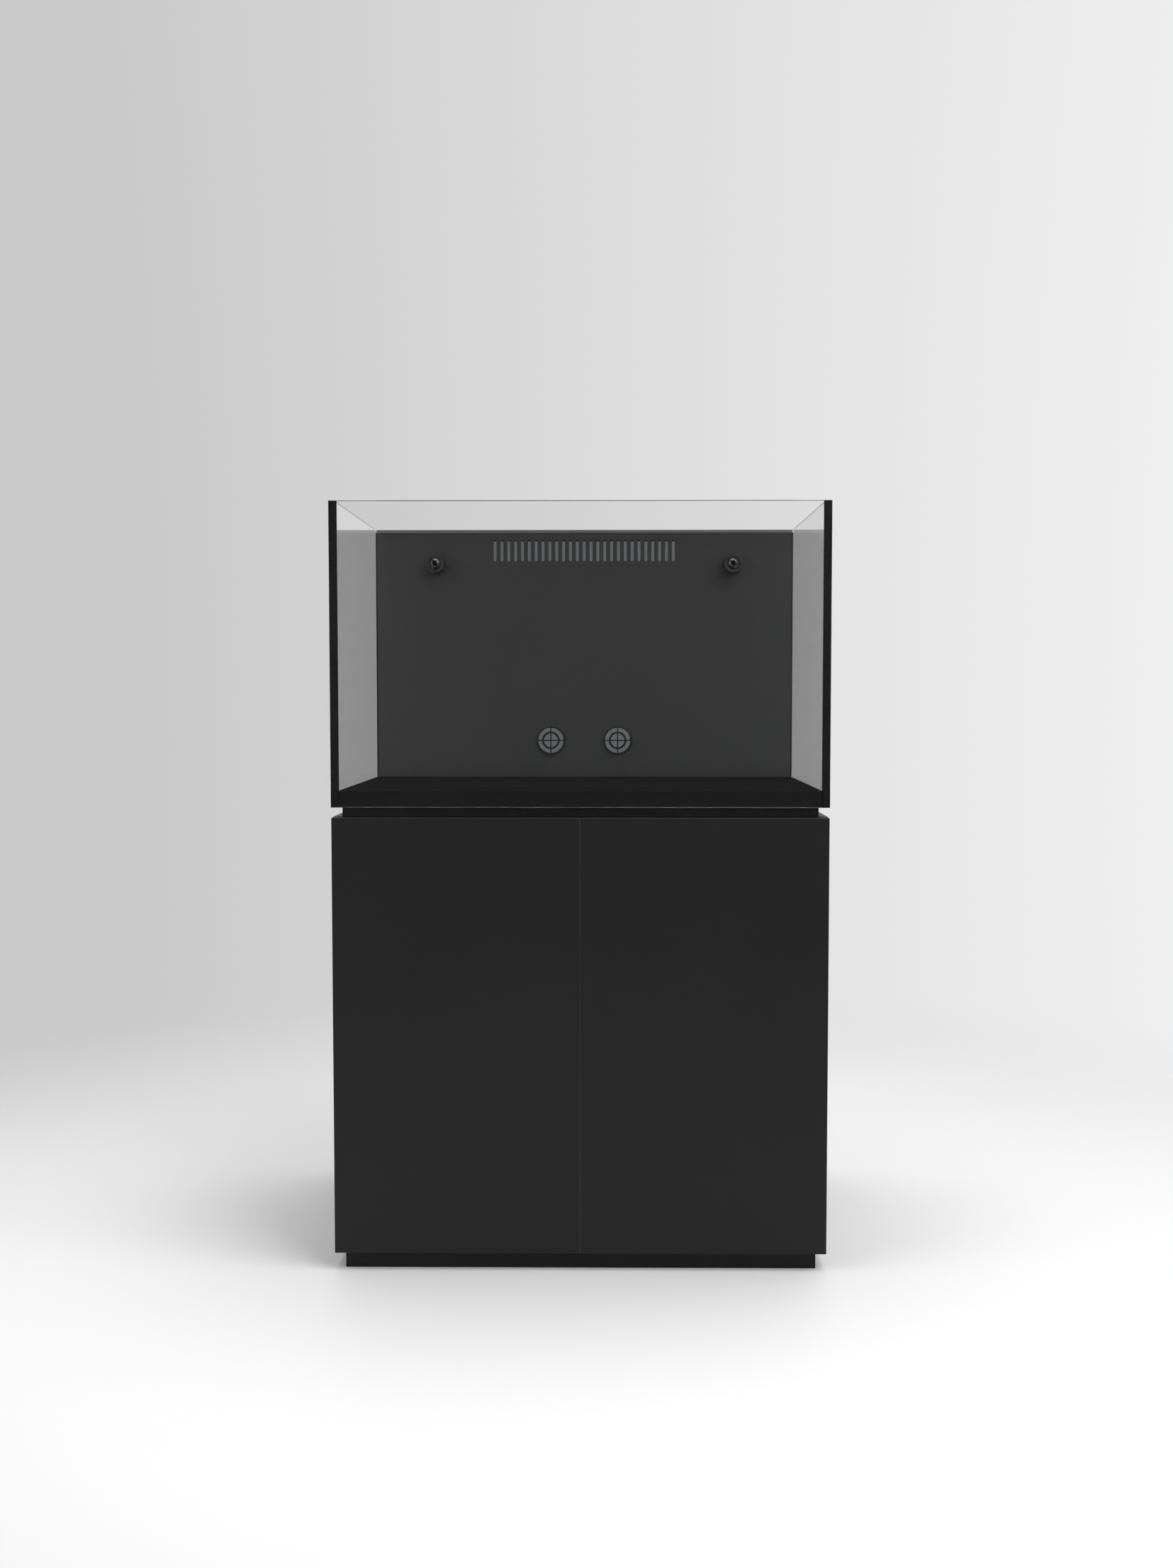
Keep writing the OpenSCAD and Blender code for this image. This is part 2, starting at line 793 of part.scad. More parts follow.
module elbow() {
  bend_y = pipe_y - bend_r;
  color("#202020") difference() {
    union() {
      rod_y(0, 0, thread_end_y, bend_y, elbow_od);
      translate([0, bend_y, -bend_r]) rotate([90, 0, 90])
        rotate_extrude(angle = 90) translate([bend_r, 0]) circle(d = elbow_od);
      translate([0, pipe_y, -bend_r - elbow_socket_l]) cylinder(h = elbow_socket_l, d = elbow_od);
    }
    rod_y(0, 0, thread_end_y - eps, spigot_end_y, pipe_od);
    rod_y(0, 0, spigot_end_y - eps, bend_y, pipe_id);
    translate([0, bend_y, -bend_r]) rotate([90, 0, 90])
      rotate_extrude(angle = 90) translate([bend_r, 0]) circle(d = pipe_id);
    translate([0, pipe_y, -bend_r - elbow_socket_l - eps])
      cylinder(h = elbow_socket_l + eps, d = pipe_od);
  }
}

module return_elbows() {
  for (side = [-1, 1]) at_nozzle(side) elbow();
}

module return_pipes() {
  color("#8f9496") for (side = [-1, 1]) translate([side * nozzle_x, pipe_y, spout_z]) difference() {
    cylinder(h = pipe_top - spout_z, d = pipe_od);
    translate([0, 0, -eps]) cylinder(h = pipe_top - spout_z + 2 * eps, d = pipe_id);
  }
}

// Intake cage: a slotted tube with a closed end
module intake_cage(x0) {
  slot_l = cage_l - 2 * cage_end_l;
  difference() {
    rod_x(pipe_y, pump_z, x0, x0 + cage_l, cage_d);
    rod_x(pipe_y, pump_z, x0 - eps, x0 + cage_l - cage_wall, cage_d - 2 * cage_wall);
    for (a = [0 : 45 : 135]) translate([x0 + cage_l / 2, pipe_y, pump_z]) rotate([a, 0, 0])
      cube([slot_l, cage_d + 2, cage_slot_w], center = true);
  }
}

// Pump with its shaft along X, its intake towards +X and its motor towards -X
module pump() {
  x0 = -pump_head_l / 2;
  x1 = pump_head_l / 2;
  hollow_x = x1 - pump_wall - impeller_l - 2 * blade_end_gap;
  spout_top = spout_z + spout_l;
  color("#1f2022") {
    difference() {
      union() {
        rod_x(pipe_y, pump_z, x0, x1, pump_head_d);
        rod_x(pipe_y, pump_z, x0 - motor_l, x0 + 1, motor_d);
        box([x0 - motor_l, pipe_y - base_w / 2, base_z],
            [x0 - motor_l + base_l, pipe_y + base_w / 2, base_z + base_t]);
        translate([0, pipe_y, pump_z]) cylinder(h = spout_z - pump_z, d = pipe_od);
        translate([0, pipe_y, pump_z]) cylinder(h = spout_top - pump_z, d = pipe_id);
      }
      rod_x(pipe_y, pump_z, hollow_x, x1 - pump_wall, impeller_d + 2 * volute_gap);
      rod_x(pipe_y, pump_z, x1 - pump_wall - eps, x1 + eps, intake_eye_d);
      rod_x(pipe_y, pump_z, x0 - shaft_l - 2, hollow_x + eps, shaft_d + 2 * running_clear);
      translate([0, pipe_y, pump_z]) cylinder(h = spout_top - pump_z + eps, d = spout_bore_d);
    }
    intake_cage(x1);
  }
}

// Impeller: a hub with straight blades on a shaft that runs into the motor
module impeller() {
  x1 = pump_head_l / 2 - pump_wall - blade_end_gap;
  x0 = x1 - impeller_l;
  root_r = hub_d / 2 - 1;
  color("#e4e4e0") {
    rod_x(pipe_y, pump_z, x0, x1, hub_d);
    rod_x(pipe_y, pump_z, -pump_head_l / 2 - shaft_l, x0 + eps, shaft_d);
    for (i = [0 : blade_count - 1]) translate([x0, pipe_y, pump_z])
      rotate([i * 360 / blade_count, 0, 0]) translate([0, -blade_t / 2, root_r])
        cube([impeller_l, blade_t, impeller_d / 2 - root_r]);
  }
}

module left_pump() {
  translate([-nozzle_x, 0, 0]) pump();
}

module right_pump() {
  mirror([1, 0, 0]) left_pump();
}

module left_impeller() {
  translate([-nozzle_x, 0, 0]) impeller();
}

module right_impeller() {
  mirror([1, 0, 0]) left_impeller();
}

module pump_feet() {
  x_mid = -nozzle_x - motor_l / 2;
  dx = base_l / 2 - foot_inset;
  dy = base_w / 2 - foot_inset;
  color("#0f0f0f") both_sides() for (x = [-dx, dx], y = [-dy, dy])
    translate([x_mid + x, pipe_y + y, floor_z]) cylinder(h = pump_foot_h, d = pump_foot_d);
}

// --- Cabinet ---

module screw(x, y, z, up) {
  translate([x, y, z]) mirror([0, 0, up ? 0 : 1]) {
    cylinder(h = screw_l, d = screw_d);
    translate([0, 0, -screw_head_h]) cylinder(h = screw_head_h, d = screw_head_d);
  }
}

// Four screws up through the cabinet's top into the riser, four down into the plinth
module fixing_screws() {
  color("#8a8a88") for (x = [-screw_x, screw_x], s = [-1, 1]) {
    screw(x, s * riser_screw_y, body_top - board_t, true);
    screw(x, s * plinth_screw_y, bottom_top, false);
  }
}

// The holes that these screws fill
module screw_holes() {
  for (x = [-screw_x, screw_x], s = [-1, 1]) {
    translate([x, s * riser_screw_y, body_top - board_t - eps])
      cylinder(h = screw_l + eps, d = screw_d);
    translate([x, s * plinth_screw_y, bottom_top - screw_l])
      cylinder(h = screw_l + eps, d = screw_d);
  }
}

module riser() {
  x = half_w - setback;
  y = back_y - setback;
  color("#1d1d1d") difference() {
    box([-x, -y, body_top], [x, y, tank_z]);
    screw_holes();
  }
}

module plinth() {
  x = half_w - setback;
  y = back_y - setback;
  color("#1d1d1d") difference() {
    union() {
      for (y0 = [-y, y - board_t]) box([-x, y0, 0], [x, y0 + board_t, plinth_h]);
      for (x0 = [-x, x - board_t])
        box([x0, -y + board_t - eps, 0], [x0 + board_t, y - board_t + eps, plinth_h]);
    }
    screw_holes();
  }
}

module cabinet_top() {
  color("#262626") difference() {
    box([-board_x, carcass_y, body_top - board_t], [board_x, back_y, body_top]);
    screw_holes();
  }
}

module cabinet_bottom() {
  color("#262626") difference() {
    box([-board_x, carcass_y, plinth_h], [board_x, back_y, bottom_top]);
    screw_holes();
  }
}

// Where the shelf pins cross the faces of the boards: x of the face, and y
pin_z = shelf_z - shelf_pin_d / 2;
pin_faces = [
  for (x = [-board_x, -board_t / 2, board_t / 2, board_x])
    for (y = [carcass_y + shelf_setback + pin_inset, back_panel_y - shelf_gap - pin_inset]) [x, y]
];

module pin_rods(d) {
  for (p = pin_faces) rod_x(p[1], pin_z, p[0] - pin_bite, p[0] + pin_bite, d);
}

module shelf_pins() {
  color("#9a9a98") pin_rods(shelf_pin_d);
}

module cabinet_side() {
  difference() {
    box([-half_w, carcass_y, plinth_h], [-board_x, back_y, body_top]);
    pin_rods(shelf_pin_d);
  }
}

module cabinet_left_side() {
  color("#262626") cabinet_side();
}

module cabinet_right_side() {
  color("#262626") mirror([1, 0, 0]) cabinet_side();
}

module centre_divider() {
  color("#262626") difference() {
    box([-board_t / 2, carcass_y, bottom_top], [board_t / 2, back_panel_y, body_top - board_t]);
    pin_rods(shelf_pin_d);
  }
}

module cabinet_back() {
  y1 = back_panel_y + back_t;
  color("#2a2a2a") difference() {
    box([-board_x, back_panel_y, bottom_top], [board_x, y1, body_top - board_t]);
    both_sides() rod_y(port_x, port_z, back_panel_y - eps, y1 + eps, port_d);
  }
}

module cable_grommets() {
  y1 = back_panel_y + back_t;
  color("#161616") both_sides() difference() {
    union() {
      rod_y(port_x, port_z, back_panel_y, y1, port_d);
      rod_y(port_x, port_z, y1, y1 + grommet_lip_t, port_d + 2 * grommet_lip_w);
    }
    rod_y(port_x, port_z, back_panel_y - eps, y1 + grommet_lip_t + eps, grommet_bore_d);
  }
}

module shelf() {
  y0 = carcass_y + shelf_setback;
  x1 = -board_t / 2 - shelf_gap;
  box([-board_x + shelf_gap, y0, shelf_z], [x1, back_panel_y - shelf_gap, shelf_z + board_t]);
}

module left_shelf() {
  color("#262626") shelf();
}

module right_shelf() {
  color("#262626") mirror([1, 0, 0]) shelf();
}

// Rubber dots on the divider's front edge, which the doors close against
module door_bumpers() {
  x = board_t / 4;
  z0 = bottom_top + bumper_inset;
  z1 = body_top - board_t - bumper_inset;
  color("#101010") for (side = [-1, 1], z = [z0, z1])
    rod_y(side * x, z, carcass_y - bumper_t, carcass_y, bumper_d);
}

// --- Doors and their concealed hinges ---

module cup_space(d, depth) {
  for (z = hinge_z) rod_y(cup_x, z, door_back_y - depth, door_back_y + eps, d);
}

module door() {
  difference() {
    box([-door_edge_x, front_y, plinth_h + door_margin],
        [-door_seam / 2, door_back_y, body_top - door_margin]);
    cup_space(cup_d, cup_depth);
  }
}

module left_door() {
  color("#282828") door();
}

module right_door() {
  color("#282828") mirror([1, 0, 0]) door();
}

// Cup with its rim and the pin that crosses it
module hinge_cups() {
  hollow_d = cup_d - 2 * cup_wall;
  pin_side_x = cup_x - cup_pin[0] + hinge_pin_d / 2; // from the cup's middle to the pin's far side
  pin_l = 2 * sqrt(pow(cup_d / 2 - cup_skin, 2) - pow(pin_side_x, 2));
  color("#b8b8b4") for (z = hinge_z) {
    difference() {
      union() {
        rod_y(cup_x, z, door_back_y - cup_depth, door_back_y, cup_d);
        rod_y(cup_x, z, door_back_y, door_back_y + cup_rim_t, cup_d + 2 * cup_rim_w);
      }
      rod_y(cup_x, z, door_back_y - cup_depth + cup_wall, door_back_y + cup_rim_t + eps, hollow_d);
    }
    translate([cup_pin[0], cup_pin[1], z]) cylinder(h = pin_l, d = hinge_pin_d, center = true);
  }
}

module left_hinge_cups() {
  hinge_cups();
}

module right_hinge_cups() {
  mirror([1, 0, 0]) hinge_cups();
}

// Unit normal of the line from p to q
function normal(p, q) = [p[1] - q[1], q[0] - p[0]] / norm(q - p);

// A path moved sideways by r, with mitred corners
function offset_path(path, r) = [
  for (i = [0 : len(path) - 1])
    let (a = normal(path[max(i - 1, 0)], path[max(i, 1)]))
    let (b = normal(path[min(i, len(path) - 2)], path[min(i + 1, len(path) - 1)]))
    path[i] + r * (a + b) / (1 + a * b)
];

function reversed(list) = [for (i = [len(list) - 1 : -1 : 0]) list[i]];

// Swan-necked link between the arm's pin and the cup's pin
module hinge_links() {
  bend_a = cup_pin + [link_reach[0], -link_dip];
  bend_b = cup_pin + [link_reach[1], link_rise - link_dip];
  path = [cup_pin, bend_a, bend_b, arm_pin];
  bore_d = hinge_pin_d + 2 * running_clear;
  color("#a8a8a4") for (z = hinge_z) translate([0, 0, z]) difference() {
    union() {
      for (p = [cup_pin, arm_pin]) translate([p[0], p[1], 0])
        cylinder(h = link_w, d = link_barrel_d, center = true);
      translate([0, 0, -link_w / 2]) linear_extrude(link_w)
        polygon(concat(offset_path(path, link_web_t / 2), reversed(offset_path(path, -link_web_t / 2))));
    }
    for (p = [cup_pin, arm_pin]) translate([p[0], p[1], 0])
      cylinder(h = link_w + 1, d = bore_d, center = true);
  }
}

module left_hinge_links() {
  hinge_links();
}

module right_hinge_links() {
  mirror([1, 0, 0]) hinge_links();
}

// Arm with two cheeks that carry its pin
module hinge_arms() {
  x0 = -board_x + plate_t;
  z1 = cheek_z + cheek_t;
  solid_y = arm_pin[1] + arm_front;
  color("#b0b0ac") both_sides() for (z = hinge_z) translate([0, 0, z]) {
    box([x0, solid_y, -z1], [x0 + arm_t, arm_pin[1] + arm_l, z1]);
    for (s = [0, 1]) mirror([0, 0, s]) {
      translate([arm_pin[0], arm_pin[1], cheek_z]) cylinder(h = cheek_t, d = cheek_d);
      box([arm_pin[0] - cheek_d / 2, arm_pin[1], cheek_z],
          [arm_pin[0] + cheek_d / 2, solid_y + eps, z1]);
    }
    translate([arm_pin[0], arm_pin[1], 0]) cylinder(h = 2 * z1, d = hinge_pin_d, center = true);
  }
}

module hinge_plates() {
  y1 = arm_pin[1] + arm_l + plate_tail;
  color("#b8b8b4") both_sides() for (z = hinge_z)
    box([-board_x, y1 - plate_l, z - plate_h / 2], [-board_x + plate_t, y1, z + plate_h / 2]);
}

front_glass();
back_glass();
left_glass();
right_glass();
bottom_glass();
floor_panel();
silicone_seams();
levelling_mat();
partition();
top_rail();
lid_ledge();
chamber_baffles();
left_lid();
right_lid();
cassette_cover();
cassette_frame();
filter_floss();
filter_blocks();
filter_sponge();
left_strainer();
right_strainer();
left_nozzle_body();
right_nozzle_body();
left_collar();
right_collar();
left_seat_ring();
right_seat_ring();
left_ball();
right_ball();
nozzle_gaskets();
nozzle_nuts();
return_elbows();
return_pipes();
left_pump();
right_pump();
left_impeller();
right_impeller();
pump_feet();
riser();
cabinet_top();
cabinet_left_side();
cabinet_right_side();
cabinet_bottom();
cabinet_back();
centre_divider();
left_shelf();
right_shelf();
shelf_pins();
plinth();
left_door();
right_door();
left_hinge_cups();
right_hinge_cups();
left_hinge_links();
right_hinge_links();
hinge_arms();
hinge_plates();
door_bumpers();
cable_grommets();
fixing_screws();
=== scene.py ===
"""Looks of a rimless aquarium with a rear filter chamber, on a two-door cabinet.

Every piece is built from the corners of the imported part's nodes, in metres, with +Z up and the
front facing -Y. Sizes that belong to one sub-assembly are fields of its class.
"""
import logging
import math
from dataclasses import dataclass
from enum import Enum
from typing import Iterable, Mapping, Sequence

import bmesh
import bpy
from mathutils import Matrix, Vector


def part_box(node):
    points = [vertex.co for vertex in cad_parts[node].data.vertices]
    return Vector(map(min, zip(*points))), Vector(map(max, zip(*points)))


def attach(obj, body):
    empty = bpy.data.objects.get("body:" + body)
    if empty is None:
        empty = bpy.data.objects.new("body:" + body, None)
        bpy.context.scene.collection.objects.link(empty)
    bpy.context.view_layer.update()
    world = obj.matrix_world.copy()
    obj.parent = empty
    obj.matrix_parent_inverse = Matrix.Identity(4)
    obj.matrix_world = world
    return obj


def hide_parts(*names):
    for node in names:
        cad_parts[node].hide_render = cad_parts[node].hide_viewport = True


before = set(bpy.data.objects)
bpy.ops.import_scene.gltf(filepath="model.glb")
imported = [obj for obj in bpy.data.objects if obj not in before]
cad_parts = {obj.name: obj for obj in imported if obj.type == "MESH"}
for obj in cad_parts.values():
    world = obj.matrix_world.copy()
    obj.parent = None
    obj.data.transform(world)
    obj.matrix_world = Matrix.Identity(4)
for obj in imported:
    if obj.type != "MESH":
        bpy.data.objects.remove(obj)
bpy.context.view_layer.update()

MM = 0.001
FULL_TURN = 2 * math.pi
SHARP_ANGLE = math.radians(35)
ROOT = "tank_and_cabinet"
CASSETTE = "filter_cassette"
ALONG_X = Matrix.Rotation(math.pi / 2, 4, "Y")
ALONG_Y = Matrix.Rotation(-math.pi / 2, 4, "X")

# Radii of the edges that several sub-assemblies share.
CRISP_EDGE = 0.3 * MM
EASED_EDGE = 0.4 * MM
SOFT_EDGE = 0.8 * MM
BLUNT_EDGE = 1.2 * MM

Mesh = bmesh.types.BMesh
Point = tuple[float, float]
Tree = bpy.types.NodeTree
Socket = bpy.types.NodeSocket
Colour = tuple[float, float, float, float]

logging.basicConfig(level=logging.INFO, format="%(levelname)s %(name)s: %(message)s")
LOG = logging.getLogger("aquarium")


class Side(Enum):
    """The two mirrored halves; the value is the sign of X."""

    LEFT = -1
    RIGHT = 1

    @property
    def word(self) -> str:
        """The side's name as the node and body names spell it."""
        return self.name.lower()


class Grain(Enum):
    """The kinds of surface texture, by the Blender node that draws them."""

    NOISE = "ShaderNodeTexNoise"
    CELLS = "ShaderNodeTexVoronoi"


# --- Materials ---


def linear(hex_colour: str, factor: float = 1.0) -> Colour:
    """Turns an sRGB hex colour into linear RGBA.

    Args:
        hex_colour: Six hex digits after a hash.
        factor: How much lighter or darker to make it.

    Returns:
        Red, green, blue and an alpha of 1.
    """
    channels = [int(hex_colour[i : i + 2], 16) / 255 for i in (1, 3, 5)]
    light = (c / 12.92 if c <= 0.04045 else ((c + 0.055) / 1.055) ** 2.4 for c in channels)
    red, green, blue = (min(1.0, c * factor) for c in light)
    return red, green, blue, 1.0


def add_node(
    tree: Tree,
    kind: str,
    settings: Mapping[str | int, object] | None = None,
    links: Mapping[str | int, Socket] | None = None,
) -> bpy.types.Node:
    """Adds a node, sets its inputs or properties, and links its inputs.

    Args:
        tree: The node tree to add to.
        kind: The node's Blender type.
        settings: Input names or numbers, or property names, with their values.
        links: Input names or numbers, with the output sockets that feed them.

    Returns:
        The new node.
    """
    node = tree.nodes.new(kind)
    for key, value in (settings or {}).items():
        if isinstance(key, int) or key in node.inputs:
            node.inputs[key].default_value = value
        else:
            setattr(node, key, value)
    for key, socket in (links or {}).items():
        tree.links.new(socket, node.inputs[key])
    return node


@dataclass(frozen=True)
class Finish:
    """One real material with its surface; the base of all finishes.

    Attributes:
        name: The material's common name and how its surface was made.
        slot: The record's material slot; not used by this script.
        colour: Base colour as sRGB hex.
    """

    name: str
    slot: str
    colour: str

    def material(self) -> bpy.types.Material:
        """Makes the material once.

        Returns:
            The material, new or already made.
        """
        made = bpy.data.materials.get(self.name)
        if made:
            return made
        made = bpy.data.materials.new(self.name)
        made.use_nodes = True
        tree = made.node_tree
        tree.nodes.clear()
        add_node(tree, "ShaderNodeOutputMaterial", links={"Surface": self.surface(tree)})
        return made

    def surface(self, tree: Tree) -> Socket:
        """Builds the shader and returns its output."""
        raise NotImplementedError


@dataclass(frozen=True)
class Solid(Finish):
    """An opaque finish: a grain in the surface, cloudy colour and uneven gloss.

    Attributes:
        roughness: Mean roughness.
        uneven: How far the roughness strays from its mean.
        grain: The texture's kind.
        grain_size: Size of one grain, in metres.
        grain_depth: Depth of the grain, in metres.
        cloud_size: Size of the cloudy colour changes, in metres.
        cloud: Strength of the cloudy colour changes, from 0 to 1.
        metallic: 1 for a bare metal.
        specular: Specular level of a plastic, lacquer or rubber.
        stretch: Scale of the grain along X, Y and Z, for brushed or drawn surfaces.
        pore_shade: How much darker the low places of the grain are, from 0 to 1: painted shade in
            pores and hollows.
    """

    roughness: float = 0.5
    uneven: float = 0.05
    grain: Grain = Grain.NOISE
    grain_size: float = 0.8 * MM
    grain_depth: float = 0.01 * MM
    cloud_size: float = 90 * MM
    cloud: float = 0.08
    metallic: float = 0.0
    specular: float = 0.5
    stretch: tuple[float, float, float] = (1.0, 1.0, 1.0)
    pore_shade: float = 0.0

    def surface(self, tree: Tree) -> Socket:
        """Builds the shader.

        Args:
            tree: The material's node tree.

        Returns:
            The shader's output.
        """
        where = add_node(tree, "ShaderNodeTexCoord").outputs["Object"]
        stretched = add_node(
            tree, "ShaderNodeMapping", {"Scale": self.stretch}, {"Vector": where}
        ).outputs["Vector"]
        cloud = add_node(
            tree, "ShaderNodeTexNoise",
            {"Scale": 1 / self.cloud_size, "Detail": 4.0, "Roughness": 0.6}, {"Vector": where},
        ).outputs[0]
        detail = {"Detail": 3.0} if self.grain is Grain.NOISE else {}
        grain = add_node(
            tree, self.grain.value, {"Scale": 1 / self.grain_size, **detail}, {"Vector": stretched}
        ).outputs[0]
        rough = add_node(
            tree, "ShaderNodeMapRange",
            {
                "From Min": 0.3, "From Max": 0.7,
                "To Min": self.roughness - self.uneven, "To Max": self.roughness + self.uneven,
            },
            {"Value": cloud},
        ).outputs[0]
        dark, light = (linear(self.colour, 1 + sign * self.cloud) for sign in (-1, 1))
        colour = add_node(
            tree, "ShaderNodeMix", {"data_type": "RGBA", 6: dark, 7: light}, {0: cloud}
        ).outputs[2]
        # Painted shade: the low places of the grain are darkened, as pores and hollows fall in
        # shade.
        if self.pore_shade:
            low = linear(self.colour, 1 - self.pore_shade)
            colour = add_node(
                tree, "ShaderNodeMix", {"data_type": "RGBA", 6: low}, {0: grain, 7: colour}
            ).outputs[2]
        bump = add_node(
            tree, "ShaderNodeBump", {"Strength": 0.6, "Distance": self.grain_depth},
            {"Height": grain},
        ).outputs[0]
        sheen = {} if self.metallic else {"Specular IOR Level": self.specular}
        return add_node(
            tree, "ShaderNodeBsdfPrincipled", {"Metallic": self.metallic, **sheen},
            {"Base Color": colour, "Roughness": rough, "Normal": bump},
        ).outputs[0]


@dataclass(frozen=True)
class Glass(Finish):
    """Float glass that bends and mirrors light and lets lamps shine through.

    Attributes:
        shade: Colour that a lamp's light keeps after a pane.
        ior: Refractive index of soda-lime glass.
        ripple: Length of the float line's faint ripple, in metres.
        ripple_depth: Depth of that ripple, in metres.
    """

    shade: str = "#f4f8f6"
    ior: float = 1.5
    ripple: float = 60 * MM
    ripple_depth: float = 0.002 * MM

    def surface(self, tree: Tree) -> Socket:
        """Builds the shader.

        Args:
            tree: The material's node tree.

        Returns:
            The shader's output.
        """
        where = add_node(tree, "ShaderNodeTexCoord").outputs["Object"]
        wave = add_node(
            tree, "ShaderNodeTexNoise", {"Scale": 1 / self.ripple, "Detail": 0.0},
            {"Vector": where},
        ).outputs[0]
        bump = add_node(
            tree, "ShaderNodeBump", {"Strength": 0.2, "Distance": self.ripple_depth},
            {"Height": wave},
        ).outputs[0]
        glass = add_node(
            tree, "ShaderNodeBsdfPrincipled",
            {
                "Base Color": linear(self.colour), "Roughness": 0.0, "IOR": self.ior,
                "Transmission Weight": 1.0,
            },
            {"Normal": bump},
        ).outputs[0]
        shade = linear(self.shade)
        lamps = add_node(tree, "ShaderNodeBsdfTransparent", {"Color": shade}).outputs[0]
        shadow = add_node(tree, "ShaderNodeLightPath").outputs["Is Shadow Ray"]
        return add_node(
            tree, "ShaderNodeMixShader", links={0: shadow, 1: glass, 2: lamps}
        ).outputs[0]


# Pits, pearl and drawn lines finer than half a millimetre are drawn that coarse, so that they show.

# Low-iron float glass, ground and polished at its edges: nearly without a tint.
CLEAR_GLASS = Glass("low_iron_float_glass", "clear_glass", "#fefefe")
# Float glass coloured in the melt: grey all through, so things behind it look dim.
SMOKED_GLASS = Glass("grey_body_tinted_glass", "smoked_glass", "#747678", shade="#747678")
# Cured silicone: satin black with slow ripples from the smoothing tool.
SILICONE = Solid(
    "tooled_black_silicone", "black_silicone", "#101010", roughness=0.34, specular=0.15,
    grain_size=9 * MM, grain_depth=0.15 * MM,
)
# Cast acrylic with its factory gloss: sharp reflections and faint cloudiness.
PARTITION_ACRYLIC = Solid(
    "charcoal_cast_acrylic", "partition_acrylic", "#343434", roughness=0.06, uneven=0.02,
    grain_size=40 * MM, grain_depth=0.01 * MM, cloud=0.05, cloud_size=160 * MM, specular=0.45,
)
# Cast acrylic with a sawn and scraped edge: duller and paler than the sheet face below it.
RAIL_ACRYLIC = Solid(
    "grey_cast_acrylic", "partition_acrylic", "#5c5c5c", roughness=0.14, uneven=0.04,
    grain_size=14 * MM, grain_depth=0.01 * MM, cloud=0.05,
)
# Cast acrylic from a frosted mould: dead matt, so the floor stays black at a low angle.
FLOOR_ACRYLIC = Solid(
    "frosted_cast_acrylic", "floor_acrylic", "#141414", roughness=0.8, uneven=0.05,
    grain_size=1.5 * MM, grain_depth=0.02 * MM, cloud=0.08, specular=0.0,
)
# A pale, satin bead shaped as squeezed-out solvent cement; its pale colour is a painted highlight
# along the partition's top front edge.
HIGHLIGHT_CEMENT = Solid(
    "solvent_cement_painted_highlight", "partition_acrylic", "#989898", roughness=0.3, grain_size=4 * MM,
    grain_depth=0.05 * MM,
)
# Cast acrylic sheet cut with a saw: glossy faces with edges a little dull.
LID_ACRYLIC = Solid(
    "black_sawn_acrylic", "lid_acrylic", "#262626", roughness=0.2, uneven=0.06,
    grain_size=2 * MM, grain_depth=0.01 * MM,
)
# Extruded acrylic sheet: dark, smooth and slightly blue.
CASSETTE_ACRYLIC = Solid(
    "dark_sheet_acrylic", "cassette_acrylic", "#2f3134", roughness=0.18, grain_size=4 * MM,
)
# Injection-moulded ABS with a spark-eroded mould: fine even pits that dull the gloss.
MOULDED_ABS = Solid(
    "spark_textured_abs", "nozzle_abs", "#1e1e1e", roughness=0.38, grain_size=0.5 * MM,
    grain_depth=0.03 * MM, specular=0.45,
)
# The same moulding in a blacker, duller batch, which sets the strainers off from the sheet.
STRAINER_ABS = Solid(
    "spark_textured_strainer_abs", "strainer_abs", "#171717", roughness=0.42, grain_size=0.5 * MM,
    grain_depth=0.03 * MM, specular=0.35,
)
# ABS from a polished mould: a clear highlight with a little orange peel.
GLOSS_ABS = Solid(
    "polished_mould_abs", "ball_abs", "#1f1f1f", roughness=0.1, uneven=0.03,
    grain_size=5 * MM, grain_depth=0.01 * MM,
)
# ABS from a plain machined mould: an even satin that shows the ribs.
PUMP_ABS = Solid(
    "satin_moulded_abs", "pump_abs", "#1e2022", roughness=0.45, grain_size=0.6 * MM,
    grain_depth=0.04 * MM,
)
# Natural nylon: milky white and waxy.
NYLON = Solid("natural_nylon", "seat_nylon", "#d9d9d2", roughness=0.42, grain_size=1.5 * MM)
# Extruded PVC pipe: mid grey, with faint lines from the die along its length.
EXTRUDED_PVC = Solid(
    "extruded_grey_pvc", "pipe_pvc", "#8b9093", roughness=0.35, grain_size=3 * MM,
    grain_depth=0.03 * MM, stretch=(1.0, 1.0, 0.05),
)
# Nitrile rubber, press-moulded: matt black with a dry bloom.
RUBBER = Solid(
    "press_moulded_rubber", "black_rubber", "#141414", roughness=0.75, grain_size=0.7 * MM,
    grain_depth=0.05 * MM, cloud=0.25, cloud_size=6 * MM, specular=0.3,
)
# Closed-cell polyethylene foam, sliced: small dull cells.
CELL_FOAM = Solid(
    "sliced_cell_foam", "mat_foam", "#333336", roughness=0.85, grain=Grain.CELLS,
    grain_size=1.4 * MM, grain_depth=0.3 * MM, pore_shade=0.3, specular=0.2,
)
# Open-cell filter foam, about 20 pores to the inch, drawn at its true pore size.
FILTER_FOAM = Solid(
    "open_cell_filter_foam", "sponge_foam", "#3a4250", roughness=0.9, grain=Grain.CELLS,
    grain_size=2.4 * MM, grain_depth=1.2 * MM, pore_shade=0.85, cloud=0.2, specular=0.15,
)
# Bonded polyester wadding: white, with fibres that lie along the pad.
WADDING = Solid(
    "bonded_polyester_wadding", "floss", "#e8e8e2", roughness=0.95, grain_size=2.2 * MM,
    grain_depth=1.0 * MM, stretch=(0.25, 1.0, 1.0), pore_shade=0.25, cloud=0.12, cloud_size=30 * MM,
    specular=0.1,
)
